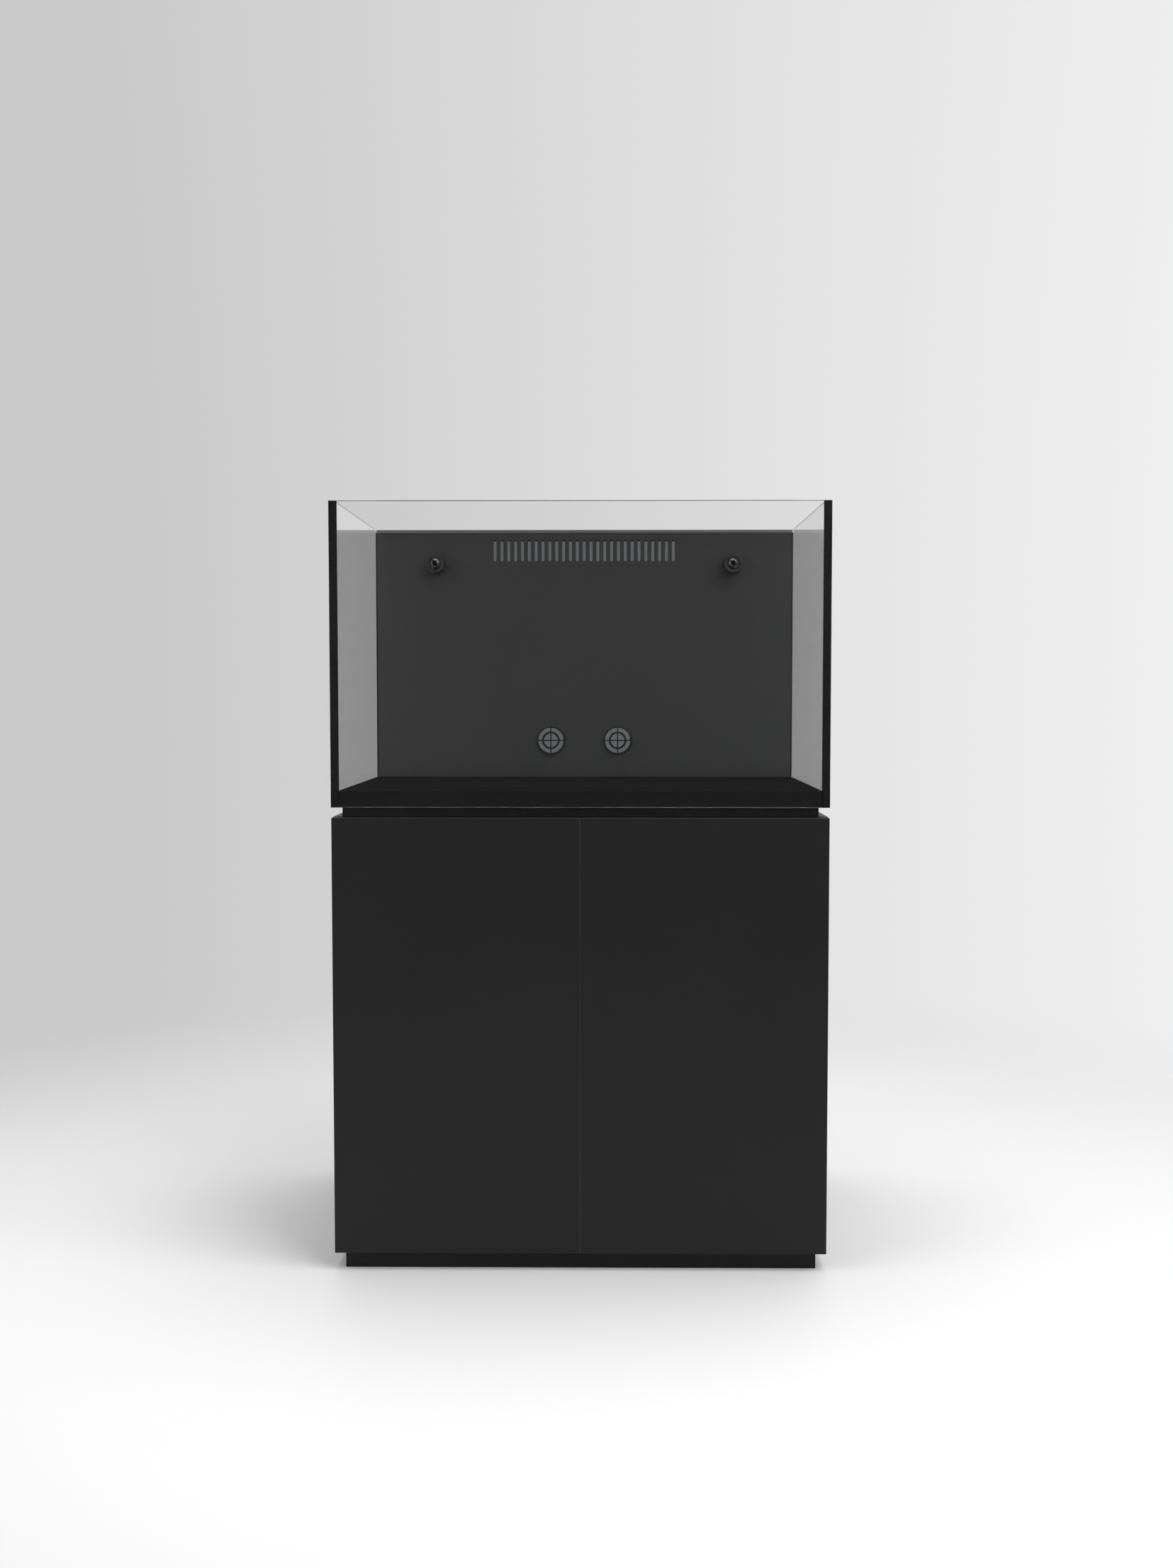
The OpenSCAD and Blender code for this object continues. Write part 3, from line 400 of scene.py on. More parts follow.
# Sintered glass block: pale, gritty and full of pores.
SINTERED = Solid(
    "sintered_porous_block", "porous_ceramic", "#cbc1ac", roughness=0.92, grain=Grain.CELLS,
    grain_size=2.0 * MM, grain_depth=0.6 * MM, pore_shade=0.4, cloud=0.15, cloud_size=25 * MM,
    specular=0.2,
)
# Super-matt laminate pressed on board: soft, low sheen with a fine pearl texture.
DOOR_LAMINATE = Solid(
    "supermatt_black_laminate", "door_laminate", "#202020", roughness=0.55, uneven=0.03,
    grain_size=0.9 * MM, grain_depth=0.015 * MM, cloud=0.05, cloud_size=250 * MM, specular=0.22,
)
# Melamine-faced board: pearl texture a little coarser than the doors'.
MELAMINE = Solid(
    "pearl_melamine_board", "carcass_laminate", "#222222", roughness=0.48, uneven=0.05,
    grain_size=1.1 * MM, grain_depth=0.04 * MM, cloud=0.07, specular=0.3,
)
# The same board painted darker for the riser and the plinth: painted shade, as these recessed
# boards fall in shade.
SHADED_MELAMINE = Solid(
    "melamine_board_painted_shade", "recess_laminate", "#191919", roughness=0.5, uneven=0.05,
    grain_size=1.1 * MM, grain_depth=0.04 * MM, cloud=0.07, specular=0.22,
)
# Hardboard with a painted face: the felted fibre shows through as soft mottling.
HARDBOARD = Solid(
    "painted_hardboard", "back_board", "#242424", roughness=0.6, grain_size=3 * MM,
    grain_depth=0.06 * MM, cloud=0.15, cloud_size=18 * MM, specular=0.25,
)
# Nickel-plated pressed steel: bright, with fine drawn lines.
NICKEL = Solid(
    "nickel_plated_steel", "hinge_steel", "#b9b8b2", roughness=0.28, uneven=0.08, metallic=1.0,
    grain_size=0.6 * MM, grain_depth=0.01 * MM, stretch=(1.0, 0.08, 1.0), cloud_size=12 * MM,
)
# Zinc-plated wire and screws: greyer, with a cloudy passivated skin.
ZINC = Solid(
    "zinc_plated_steel", "pin_steel", "#a8a8a6", roughness=0.38, uneven=0.1, metallic=1.0,
    grain_size=1.0 * MM, grain_depth=0.01 * MM, cloud=0.15, cloud_size=5 * MM,
)
# Soft extruded vinyl, charcoal and satin, paler than the doors: its colour is a painted highlight
# along the seam between the doors.
SEAM_HIGHLIGHT_VINYL = Solid(
    "soft_vinyl_painted_highlight", "black_rubber", "#3d3d3d", roughness=0.4, grain_size=2 * MM,
    grain_depth=0.02 * MM, stretch=(1.0, 1.0, 0.05), cloud_size=40 * MM,
)
# ABS from a coarsely etched mould: dull, and easy to grip.
GROMMET_ABS = Solid(
    "textured_grommet_abs", "grommet_abs", "#171717", roughness=0.5, grain_size=0.6 * MM,
    grain_depth=0.05 * MM,
)


# --- Mesh building ---


def moved(mesh: Mesh, matrix: Matrix) -> Mesh:
    """Moves a whole mesh by a matrix and returns it."""
    bmesh.ops.transform(mesh, matrix=matrix, verts=mesh.verts)
    return mesh


def shifted(mesh: Mesh, x: float = 0.0, y: float = 0.0, z: float = 0.0) -> Mesh:
    """Shifts a whole mesh and returns it."""
    return moved(mesh, Matrix.Translation((x, y, z)))


def outwards(mesh: Mesh) -> Mesh:
    """Turns a mesh's faces outwards and returns it."""
    bmesh.ops.recalc_face_normals(mesh, faces=mesh.faces)
    return mesh


def flipped(mesh: Mesh, x: int, y: int = 1) -> Mesh:
    """Mirrors a mesh along the axes given as -1 and returns it."""
    return outwards(moved(mesh, Matrix.Diagonal((x, y, 1, 1))))


def facing_y(mesh: Mesh, x: float, y: float, z: float) -> Mesh:
    """Turns a mesh's Z axis to +Y, puts its origin at a place and returns it."""
    return moved(mesh, Matrix.Translation((x, y, z)) @ ALONG_Y)


def stood(sheet: Mesh, y: float) -> Mesh:
    """Stands a plate up in XZ, with its thickness from y to +Y, and returns it."""
    return outwards(moved(sheet, Matrix(((1, 0, 0, 0), (0, 0, 1, y), (0, 1, 0, 0), (0, 0, 0, 1)))))


def laid_across(sheet: Mesh, x: float) -> Mesh:
    """Lays a plate in YZ, with its thickness from x to +X, and returns it."""
    return moved(sheet, Matrix(((0, 0, 1, x), (1, 0, 0, 0), (0, 1, 0, 0), (0, 0, 0, 1))))


def joined(meshes: Iterable[Mesh]) -> Mesh:
    """Puts several meshes into one and frees them.

    Args:
        meshes: The meshes to join.

    Returns:
        One mesh with all their faces.
    """
    whole = bmesh.new()
    for mesh in meshes:
        data = bpy.data.meshes.new("part")
        mesh.to_mesh(data)
        mesh.free()
        whole.from_mesh(data)
        bpy.data.meshes.remove(data)
    return whole


def rounded(mesh: Mesh, edges: Iterable[bmesh.types.BMEdge], width: float, segments: int) -> Mesh:
    """Rounds some edges of a mesh with an arc and returns the mesh."""
    bmesh.ops.bevel(
        mesh, geom=list(edges), offset=width, offset_type="OFFSET", affect="EDGES",
        segments=segments, profile=0.5, material=-1, clamp_overlap=True,
    )
    return mesh


def corners(mesh: Mesh, least: float = math.radians(40)) -> list[bmesh.types.BMEdge]:
    """The edges of a closed mesh whose two faces meet at more than an angle."""
    return [e for e in mesh.edges if len(e.link_faces) == 2 and e.calc_face_angle() > least]


def block(low: Sequence[float], high: Sequence[float], edge: float, segments: int = 3) -> Mesh:
    """Builds a block with rounded edges.

    Args:
        low: Lowest corner.
        high: Highest corner.
        edge: Radius of its edges.
        segments: Steps in each rounded edge.

    Returns:
        The mesh, in place.
    """
    mesh = bmesh.new()
    bmesh.ops.create_cube(mesh, size=1.0)
    bmesh.ops.scale(mesh, vec=Vector(high) - Vector(low), verts=mesh.verts)
    bmesh.ops.translate(mesh, vec=(Vector(high) + Vector(low)) / 2, verts=mesh.verts)
    return rounded(mesh, mesh.edges[:], edge, segments)


def turned(profile: Sequence[Point], edge: float, steps: int = 96) -> Mesh:
    """Turns a closed profile about Z, as on a lathe, and rounds its corners.

    Args:
        profile: Radius and height of each corner, in order round the section.
        edge: Radius of the rounded corners, or 0 for none.
        steps: Steps in a full turn.

    Returns:
        A closed mesh about the Z axis.
    """
    mesh = bmesh.new()
    verts = [mesh.verts.new((radius, 0, height)) for radius, height in profile]
    for a, b in zip(verts, verts[1:] + verts[:1]):
        if a.co.x > 0 or b.co.x > 0:
            mesh.edges.new((a, b))
    bmesh.ops.spin(
        mesh, geom=mesh.verts[:] + mesh.edges[:], cent=(0, 0, 0), axis=(0, 0, 1),
        angle=FULL_TURN, steps=steps, use_merge=True,
    )
    bmesh.ops.remove_doubles(mesh, verts=mesh.verts, dist=0.001 * MM)
    outwards(mesh)
    return rounded(mesh, corners(mesh), edge, 2) if edge else mesh


def ring(outer: float, inner: float, low: float, high: float, edge: float) -> Mesh:
    """A turned tube from one height to another."""
    return turned([(inner, low), (outer, low), (outer, high), (inner, high)], edge)


def rod(radius: float, low: float, high: float, edge: float, steps: int = 64) -> Mesh:
    """A turned solid cylinder from one height to another."""
    return turned([(0, low), (radius, low), (radius, high), (0, high)], edge, steps)


def arc(radius: float, centre: Point, start: float, end: float, steps: int) -> list[Point]:
    """Points along an arc, with both its ends.

    Args:
        radius: The arc's radius.
        centre: Its centre.
        start: Angle of its first point.
        end: Angle of its last point.
        steps: Steps between the two.

    Returns:
        The points in order.
    """
    turns = [start + (end - start) * i / steps for i in range(steps + 1)]
    return [(centre[0] + radius * math.cos(t), centre[1] + radius * math.sin(t)) for t in turns]


def circle(radius: float, centre: Point = (0, 0), steps: int = 64) -> list[Point]:
    """Corners of a circle."""
    return arc(radius, centre, 0, FULL_TURN, steps)[:-1]


def slot_outline(centre: Point, width: float, height: float) -> list[Point]:
    """Corners of an upright slot with round ends.

    Args:
        centre: The slot's centre.
        width: Its width.
        height: Its height with both ends.

    Returns:
        The corners in order.
    """
    reach = (height - width) / 2
    top = arc(width / 2, (centre[0], centre[1] + reach), 0, math.pi, 10)
    return top + arc(width / 2, (centre[0], centre[1] - reach), math.pi, FULL_TURN, 10)


def plate(
    outline: Sequence[Point], holes: Iterable[Sequence[Point]], thickness: float, edge: float
) -> Mesh:
    """Cuts a flat plate with holes and rounds all its rims.

    Args:
        outline: Corners of the plate.
        holes: Corners of each hole.
        thickness: Height of the plate, from Z = 0 up.
        edge: Radius of the rims, or 0 for none.

    Returns:
        A closed mesh in the XY plane.
    """
    mesh = bmesh.new()
    for loop in (outline, *holes):
        verts = [mesh.verts.new((x, y, 0)) for x, y in loop]
        for a, b in zip(verts, verts[1:] + verts[:1]):
            mesh.edges.new((a, b))
    bmesh.ops.triangle_fill(mesh, use_beauty=True, edges=mesh.edges[:], normal=(0, 0, 1))
    grown = bmesh.ops.extrude_face_region(mesh, geom=mesh.faces[:])["geom"]
    top = [v for v in grown if isinstance(v, bmesh.types.BMVert)]
    bmesh.ops.translate(mesh, vec=(0, 0, thickness), verts=top)
    outwards(mesh)
    return rounded(mesh, corners(mesh), edge, 2) if edge else mesh


def rectangle(low: Point, high: Point) -> list[Point]:
    """Corners of an upright rectangle."""
    return [(low[0], low[1]), (high[0], low[1]), (high[0], high[1]), (low[0], high[1])]


def place(
    mesh: Mesh,
    name: str,
    finish: Finish,
    stands_for: Sequence[str] = (),
    body: str = ROOT,
    mirrored: bool = False,
) -> bpy.types.Object:
    """Makes an object of a mesh, dresses it and lets it ride on a body.

    Args:
        mesh: The mesh, in place; it is freed.
        name: The piece's name.
        finish: Its finish.
        stands_for: The nodes that it replaces.
        body: The body that it rides on.
        mirrored: Mirror it to the other side first.

    Returns:
        The new object.
    """
    if mirrored:
        moved(mesh, Matrix.Scale(-1, 4, (1, 0, 0)))
        bmesh.ops.reverse_faces(mesh, faces=mesh.faces)
    data = bpy.data.meshes.new(name)
    mesh.to_mesh(data)
    mesh.free()
    data.polygons.foreach_set("use_smooth", [True] * len(data.polygons))
    data.set_sharp_from_angle(angle=SHARP_ANGLE)
    data.materials.append(finish.material())
    piece = bpy.data.objects.new(name, data)
    bpy.context.scene.collection.objects.link(piece)
    piece.modifiers.new("Even shading", "WEIGHTED_NORMAL").keep_sharp = True
    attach(piece, body)
    if stands_for:
        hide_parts(*stands_for)
    LOG.info("%s on %s: %d faces", name, body, len(data.polygons))
    return piece


def dress(node: str, finish: Finish) -> None:
    """Gives a node that stays its finish."""
    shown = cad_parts[node]
    shown.data.materials.clear()
    shown.data.materials.append(finish.material())


def middle(node: str) -> Vector:
    """The centre of a node's box."""
    low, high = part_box(node)
    return (low + high) / 2


# --- Sub-assemblies ---


@dataclass
class Tank:
    """The glass box with its silicone joints, floor panel and foam mat."""

    arris: float = 0.7 * MM
    air: float = 0.03 * MM
    bead_leg: float = 2.0 * MM
    bead_steps: int = 6
    floor_edge: float = 1.0 * MM
    mat_edge: float = 1.5 * MM

    def build(self) -> None:
        """Builds every piece of the tank."""
        for word in ("front", "left", "right", "bottom", "back"):
            finish = SMOKED_GLASS if word == "back" else CLEAR_GLASS
            node = f"{word}_glass"
            place(block(*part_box(node), self.arris, 2), f"{word}_pane", finish, [node])
        self.corner_joints()
        self.bottom_joint()
        self.partition_joints()
        panel = block(*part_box("floor_panel"), self.floor_edge)
        place(panel, "floor_sheet", FLOOR_ACRYLIC, ["floor_panel"])
        mat = block(*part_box("levelling_mat"), self.mat_edge, 4)
        place(mat, "foam_mat", CELL_FOAM, ["levelling_mat"])

    def corner_joints(self) -> None:
        """Builds the four upright joints, each with a hollow bead inside the corner."""
        low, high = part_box("front_glass")
        side_low, side_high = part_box("left_glass")
        leg, x0 = self.bead_leg, low.x + self.air
        wall_x, pane_y = side_high.x + self.air, side_low.y - self.air
        tip = (side_high.x + leg, high.y + leg)
        hollow = arc(leg, tip, -math.pi / 2, -math.pi, self.bead_steps)[1:-1]
        outline = [
            (x0, high.y + self.air), (tip[0], high.y + self.air), *hollow,
            (wall_x, tip[1]), (wall_x, pane_y), (x0, pane_y),
        ]
        joints = [
            flipped(shifted(plate(outline, [], high.z - low.z, 0), z=low.z), x, y)
            for x in (1, -1) for y in (1, -1)
        ]
        place(joined(joints), "corner_joints", SILICONE, ["silicone_seams"])

    def partition_joints(self) -> None:
        """Builds the joints between the partition's ends and the side panes."""
        low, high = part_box("partition")
        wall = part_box("left_glass")[1].x + self.air
        leg, bow, end = self.bead_leg / 2, 0.3, low.x - self.air
        outline = [
            (wall, high.y), (wall, low.y - leg), (low.x + leg * bow, low.y - leg * bow),
            (low.x + leg, low.y - self.air), (end, low.y - self.air), (end, high.y),
        ]
        joints = [
            flipped(shifted(plate(outline, [], high.z - low.z, 0), z=low.z), x) for x in (1, -1)
        ]
        place(joined(joints), "partition_joints", SILICONE)

    def bottom_joint(self) -> None:
        """Builds the band of silicone round the bottom pane and the floor panel."""
        front_low, front_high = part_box("front_glass")
        low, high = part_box("floor_panel")
        x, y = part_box("left_glass")[1].x + self.air, front_high.y + self.air
        hole = rectangle((low.x, low.y), (high.x, high.y))
        mesh = plate(rectangle((x, y), (-x, -y)), [hole], high.z - front_low.z, 0)
        place(shifted(mesh, z=front_low.z), "bottom_joint", SILICONE)


@dataclass
class RearChamber:
    """The partition with its slots, the rail and ledge, the baffles and the lids."""

    slot_count: int = 27
    slot_width: float = 6.0 * MM
    slot_height: float = 46.0 * MM
    slot_pitch: float = 14.4 * MM
    slot_drop: float = 19.5 * MM
    rim: float = 0.35 * MM
    top_chamfer: float = 2.2 * MM
    air: float = 0.05 * MM
    strainer_bore: float = 28.0 * MM
    nozzle_bore: float = 15.0 * MM
    finger_bore: float = 10.0 * MM
    baffle: float = 6.0 * MM
    lid_gap: float = 1.0 * MM
    sheet_edge: float = 0.5 * MM
    rail_edge: float = 0.3 * MM

    def build(self) -> None:
        """Builds every fixed piece of the chamber and its lids."""
        self.partition()
        self.rail()
        ledge = block(*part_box("lid_ledge"), self.sheet_edge)
        place(ledge, "back_ledge", LID_ACRYLIC, ["lid_ledge"])
        low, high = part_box("chamber_baffles")
        baffles = [
            block((x, low.y, low.z), (x + self.baffle, high.y, high.z), self.sheet_edge)
            for x in (low.x, high.x - self.baffle)
        ]
        place(joined(baffles), "baffle_pair", LID_ACRYLIC, ["chamber_baffles"])
        for node, body, name in (
            ("left_lid", "left_lid", "left_chamber_lid"),
            ("right_lid", "right_lid", "right_chamber_lid"),
            ("cassette_cover", CASSETTE, "middle_chamber_lid"),
        ):
            self.lid(node, body, name)

    def partition(self) -> None:
        """Cuts the partition, with a chamfer along its top front edge, and lays a pale bead in it
        as a painted highlight.
        """
        low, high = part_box("partition")
        slot_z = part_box("top_rail")[1].z - self.slot_drop - self.slot_height / 2
        first = -(self.slot_count - 1) / 2
        holes = [
            slot_outline(((first + i) * self.slot_pitch, slot_z), self.slot_width, self.slot_height)
            for i in range(self.slot_count)
        ]
        for side in Side:
            for piece, bore in (("ball", self.nozzle_bore), ("strainer", self.strainer_bore)):
                centre = middle(f"{side.word}_{piece}")
                holes.append(circle(bore, (centre.x, centre.z)))
        outline = rectangle((low.x, low.z), (high.x, high.z))
        sheet = stood(plate(outline, holes, high.y - low.y, 0), low.y)
        front_top = [
            e for e in sheet.edges
            if all(v.co.y < low.y + self.rim and v.co.z > high.z - self.rim for v in e.verts)
        ]
        rounded(sheet, front_top, self.top_chamfer, 1)
        rounded(sheet, corners(sheet), self.rim, 2)
        place(sheet, "slotted_partition", PARTITION_ACRYLIC, ["partition"])
        # Painted highlight: a pale bead in the chamfer stands in for the light that the top front
        # edge catches.
        front, top = low.y + self.air, high.z - self.air
        leg = self.top_chamfer - 2 * self.air
        highlight_bead = plate([(front, top - leg), (front + leg, top), (front, top)], [], high.x - low.x, 0)
        place(laid_across(highlight_bead, low.x), "chamfer_bead_painted_highlight", HIGHLIGHT_CEMENT)

    def rail(self) -> None:
        """Builds the rail, whose step carries the lids."""
        low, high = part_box("top_rail")
        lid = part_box("left_lid")[0]
        step_y = lid.y - self.lid_gap
        section = [
            (low.y, low.z), (high.y, low.z), (high.y, lid.z), (step_y, lid.z), (step_y, high.z),
            (low.y, high.z),
        ]
        mesh = plate(section, [], high.x - low.x, self.rail_edge)
        place(laid_across(mesh, low.x), "stepped_rail", RAIL_ACRYLIC, ["top_rail"])

    def lid(self, node: str, body: str, name: str) -> None:
        """Builds one lid with its finger hole.

        Args:
            node: The lid's node.
            body: The body that it rides on.
            name: The piece's name.
        """
        low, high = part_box(node)
        hole = circle(self.finger_bore, ((low.x + high.x) / 2, (low.y + high.y) / 2))
        outline = rectangle((low.x, low.y), (high.x, high.y))
        mesh = plate(outline, [hole], high.z - low.z, self.sheet_edge)
        place(shifted(mesh, z=low.z), name, LID_ACRYLIC, [node], body)


@dataclass
class Strainer:
    """One round strainer in the partition: flange, barrel, ring and cross bars."""

    side: Side
    open_radius: float = 26.5 * MM
    barrel_radius: float = 28.0 * MM
    flange_radius: float = 30.0 * MM
    flange: float = 3.0 * MM
    ring_outer: float = 18.8 * MM
    ring_inner: float = 14.4 * MM
    ring_set: float = 0.2 * MM
    bar: float = 2.6 * MM
    bar_set: float = 0.1 * MM
    weld: float = 0.5 * MM
    edge: float = 0.4 * MM

    def build(self) -> None:
        """Builds the strainer as one moulding."""
        node = f"{self.side.word}_strainer"
        low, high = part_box(node)
        depth = high.y - low.y
        shell = turned(
            [
                (self.open_radius, 0), (self.flange_radius, 0), (self.flange_radius, self.flange),
                (self.barrel_radius, self.flange), (self.barrel_radius, depth),
                (self.open_radius, depth),
            ],
            self.edge,
        )
        hoop = ring(self.ring_outer, self.ring_inner, self.ring_set, self.flange, self.edge)
        reach, half = self.open_radius + self.weld, self.bar / 2
        bars = [
            block((-x, -y, self.bar_set), (x, y, self.flange - self.bar_set), self.edge, 2)
            for x, y in ((reach, half), (half, reach))
        ]
        centre = (low + high) / 2
        mesh = facing_y(joined([shell, hoop, *bars]), centre.x, low.y, centre.z)
        place(mesh, f"{self.side.word}_round_strainer", STRAINER_ABS, [node])


@dataclass
class Nozzle:
    """The moving pieces of one swivelling return nozzle: its collar and its ball."""

    side: Side
    notches: int = 32
    notch_radius: float = 1.1 * MM
    notch_depth: float = 0.99 * MM
    grip_radius: float = 20.8 * MM
    grip_lap: float = 2.0 * MM
    nose_radius: float = 18.4 * MM
    nose_length: float = 10.0 * MM
    flare_radius: float = 14.15 * MM
    mouth_radius: float = 12.5 * MM
    ball_room: float = 14.3 * MM
    collar_bore: float = 17.55 * MM
    shoulder: float = 11.7 * MM
    bore: float = 5.0 * MM
    chamfer: float = 0.8 * MM
    chamfer_depth: float = 0.48 * MM
    edge: float = 0.35 * MM
    ball_steps: int = 24
    cup_steps: int = 8

    def build(self) -> None:
        """Builds the collar and the ball."""
        self.collar()
        self.ball()

    def collar(self) -> None:
        """Builds the collar: a smooth nose with a flared mouth and a notched grip behind it."""
        node = f"{self.side.word}_collar"
        low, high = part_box(node)
        centre = middle(f"{self.side.word}_ball")
        widest = -math.acos(self.mouth_radius / self.ball_room)
        cup = arc(self.ball_room, (0, centre.y - low.y), widest, 0, self.cup_steps)
        nose_end = self.nose_length + self.grip_lap
        profile = [
            (self.nose_radius, 0), (self.flare_radius, 0), *cup, (self.ball_room, self.shoulder),
            (self.collar_bore, self.shoulder), (self.collar_bore, nose_end),
            (self.nose_radius, nose_end),
        ]
        nose = turned(profile[::-1], self.edge)
        half = self.notch_radius / self.grip_radius
        outline = []
        for i in range(self.notches):
            for offset, share in ((-1, 0), (-0.5, 0.8), (0, 1), (0.5, 0.8), (1, 0), (2.2, 0)):
                radius = self.grip_radius - share * self.notch_depth
                turn = FULL_TURN * i / self.notches + offset * half
                outline.append((radius * math.cos(turn), radius * math.sin(turn)))
        bore = circle(self.collar_bore, steps=96)
        grip = plate(outline, [bore], high.y - low.y - self.nose_length, CRISP_EDGE)
        mesh = joined([nose, shifted(grip, z=self.nose_length)])
        facing_y(mesh, centre.x, low.y, centre.z)
        place(mesh, f"{self.side.word}_grip_collar", MOULDED_ABS, [node], node)

    def ball(self) -> None:
        """Builds the ball with its bore, whose mouths are chamfered."""
        node = f"{self.side.word}_ball"
        low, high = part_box(node)
        radius = (high.x - low.x) / 2
        start = math.acos((self.bore + self.chamfer) / radius)
        skin = arc(radius, (0, 0), start, -start, self.ball_steps)
        inner = radius * math.sin(start) - self.chamfer_depth
        mesh = turned([*skin, (self.bore, -inner), (self.bore, inner)], 0)
        facing_y(mesh, *middle(node))
        place(mesh, f"{self.side.word}_swivel_ball", GLOSS_ABS, [node], node)


@dataclass
class ReturnLine:
    """One side's pump with its feet, and the nut behind the partition."""

    side: Side
    head_radius: float = 26.0 * MM
    head_length: float = 30.0 * MM
    head_edge: float = 2.5 * MM
    motor_radius: float = 22.0 * MM
    motor_length: float = 55.0 * MM
    rib_count: int = 7
    rib_depth: float = 1.2 * MM
    rib_end: float = 2.0 * MM
    cage_radius: float = 14.0 * MM
    cage_wall: float = 2.5 * MM
    cage_length: float = 20.0 * MM
    cage_end: float = 4.0 * MM
    cage_slot: float = 3.0 * MM
    cage_bars: int = 8
    weld: float = 0.5 * MM
    base: float = 6.0 * MM
    base_set: float = 2.0 * MM
    spout_radius: float = 10.0 * MM
    foot_radius: float = 6.0 * MM
    foot_waist: float = 0.8 * MM
    foot_flare: float = 0.35
    foot_inset: float = 2.0 * MM
    foot_edge: float = 0.6 * MM
    nut_flat: float = 20.0 * MM
    nut_bore: float = 15.05 * MM

    def build(self) -> None:
        """Builds the pump, its feet and the nut."""
        self.pump()
        self.feet()
        self.nut()

    def pump(self) -> None:
        """Builds the pump: a volute head, a ribbed motor, a slotted cage, a base and a spout."""
        low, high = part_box("left_pump")
        axis_y = (low.y + high.y) / 2
        axis_z = low.z + self.base + self.head_radius - self.base_set
        cage_x = high.x - self.cage_length
        head_x = cage_x - self.head_length
        motor_x = head_x - self.motor_length
        head = rod(self.head_radius, 0, self.head_length, self.head_edge)
        shapes = [
            moved(mesh, Matrix.Translation((x, axis_y, axis_z)) @ ALONG_X)
            for mesh, x in ((head, head_x), (self.motor(), motor_x), (self.cage(), cage_x))
        ]
        reach = self.head_radius - self.base_set
        base_high = (cage_x, axis_y + reach, low.z + self.base)
        shapes.append(block((motor_x, axis_y - reach, low.z), base_high, BLUNT_EDGE))
        spout = rod(self.spout_radius, 0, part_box("return_pipes")[0].z - axis_z, EASED_EDGE)
        shapes.append(shifted(spout, head_x + self.head_length / 2, axis_y, axis_z))
        word = self.side.word
        right = self.side is Side.RIGHT
        place(joined(shapes), f"{word}_return_pump", PUMP_ABS, [f"{word}_pump"], mirrored=right)

    def motor(self) -> Mesh:
        """Builds the motor's ribbed can.

        Returns:
            The can along Z, from its outer end.
        """
        pitch = (self.motor_length - self.rib_end) / (2 * self.rib_count)
        profile = [(0.0, 0.0)]
        for i in range(2 * self.rib_count):
            radius = self.motor_radius - self.rib_depth * (i % 2)
            profile += [(radius, i * pitch), (radius, (i + 1) * pitch)]
        profile += [
            (self.motor_radius, 2 * self.rib_count * pitch),
            (self.motor_radius, self.motor_length), (0.0, self.motor_length),
        ]
        return turned(profile, CRISP_EDGE)

    def cage(self) -> Mesh:
        """Builds the slotted intake cage.

        Returns:
            The cage along Z, from the head.
        """
        inner = self.cage_radius - self.cage_wall
        collar = ring(self.cage_radius, inner, 0, self.cage_end, CRISP_EDGE)
        cap_z = self.cage_length - self.cage_end
        cap = rod(self.cage_radius, cap_z, self.cage_length, SOFT_EDGE)
        round_length = FULL_TURN * (inner + self.cage_wall / 2)
        half = (round_length / self.cage_bars - self.cage_slot) / 2
        low = (inner, -half, self.cage_end - self.weld)
        high = (self.cage_radius, half, cap_z + self.weld)
        bars = [
            moved(
                block(low, high, EASED_EDGE, 2),
                Matrix.Rotation(FULL_TURN * (i + 0.5) / self.cage_bars, 4, "Z"),
            )
            for i in range(self.cage_bars)
        ]
        return joined([collar, cap, *bars])

    def feet(self) -> None:
        """Builds the four waisted rubber feet under the pump."""
        pump_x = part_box("left_pump")[0].x
        low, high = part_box("pump_feet")
        radius, height = self.foot_radius, high.z - low.z
        waist, inset = radius - self.foot_waist, radius + self.foot_inset
        flare = height * self.foot_flare
        profile = [
            (0.0, 0.0), (radius, 0.0), (waist, flare), (waist, height - flare),
            (radius, height), (0.0, height),
        ]
        feet = [
            shifted(turned(profile, self.foot_edge, 32), x, y, low.z)
            for x in (pump_x + inset, pump_x + self.motor_length + self.head_length - inset)
            for y in (low.y + radius, high.y - radius)
        ]
        right = self.side is Side.RIGHT
        node = [] if right else ["pump_feet"]
        place(joined(feet), f"{self.side.word}_pump_feet", RUBBER, node, mirrored=right)

    def nut(self) -> None:
        """Builds the hexagonal nut with rounded corners on the nozzle's thread."""
        low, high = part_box("nozzle_nuts")
        centre = middle(f"{self.side.word}_ball")
        outline = circle(self.nut_flat / math.cos(math.pi / 6), steps=6)
        nut = plate(outline, [circle(self.nut_bore)], high.y - low.y, SOFT_EDGE)
        node = ["nozzle_nuts"] if self.side is Side.LEFT else []
        facing_y(nut, centre.x, low.y, centre.z)
        place(nut, f"{self.side.word}_thread_nut", MOULDED_ABS, node)


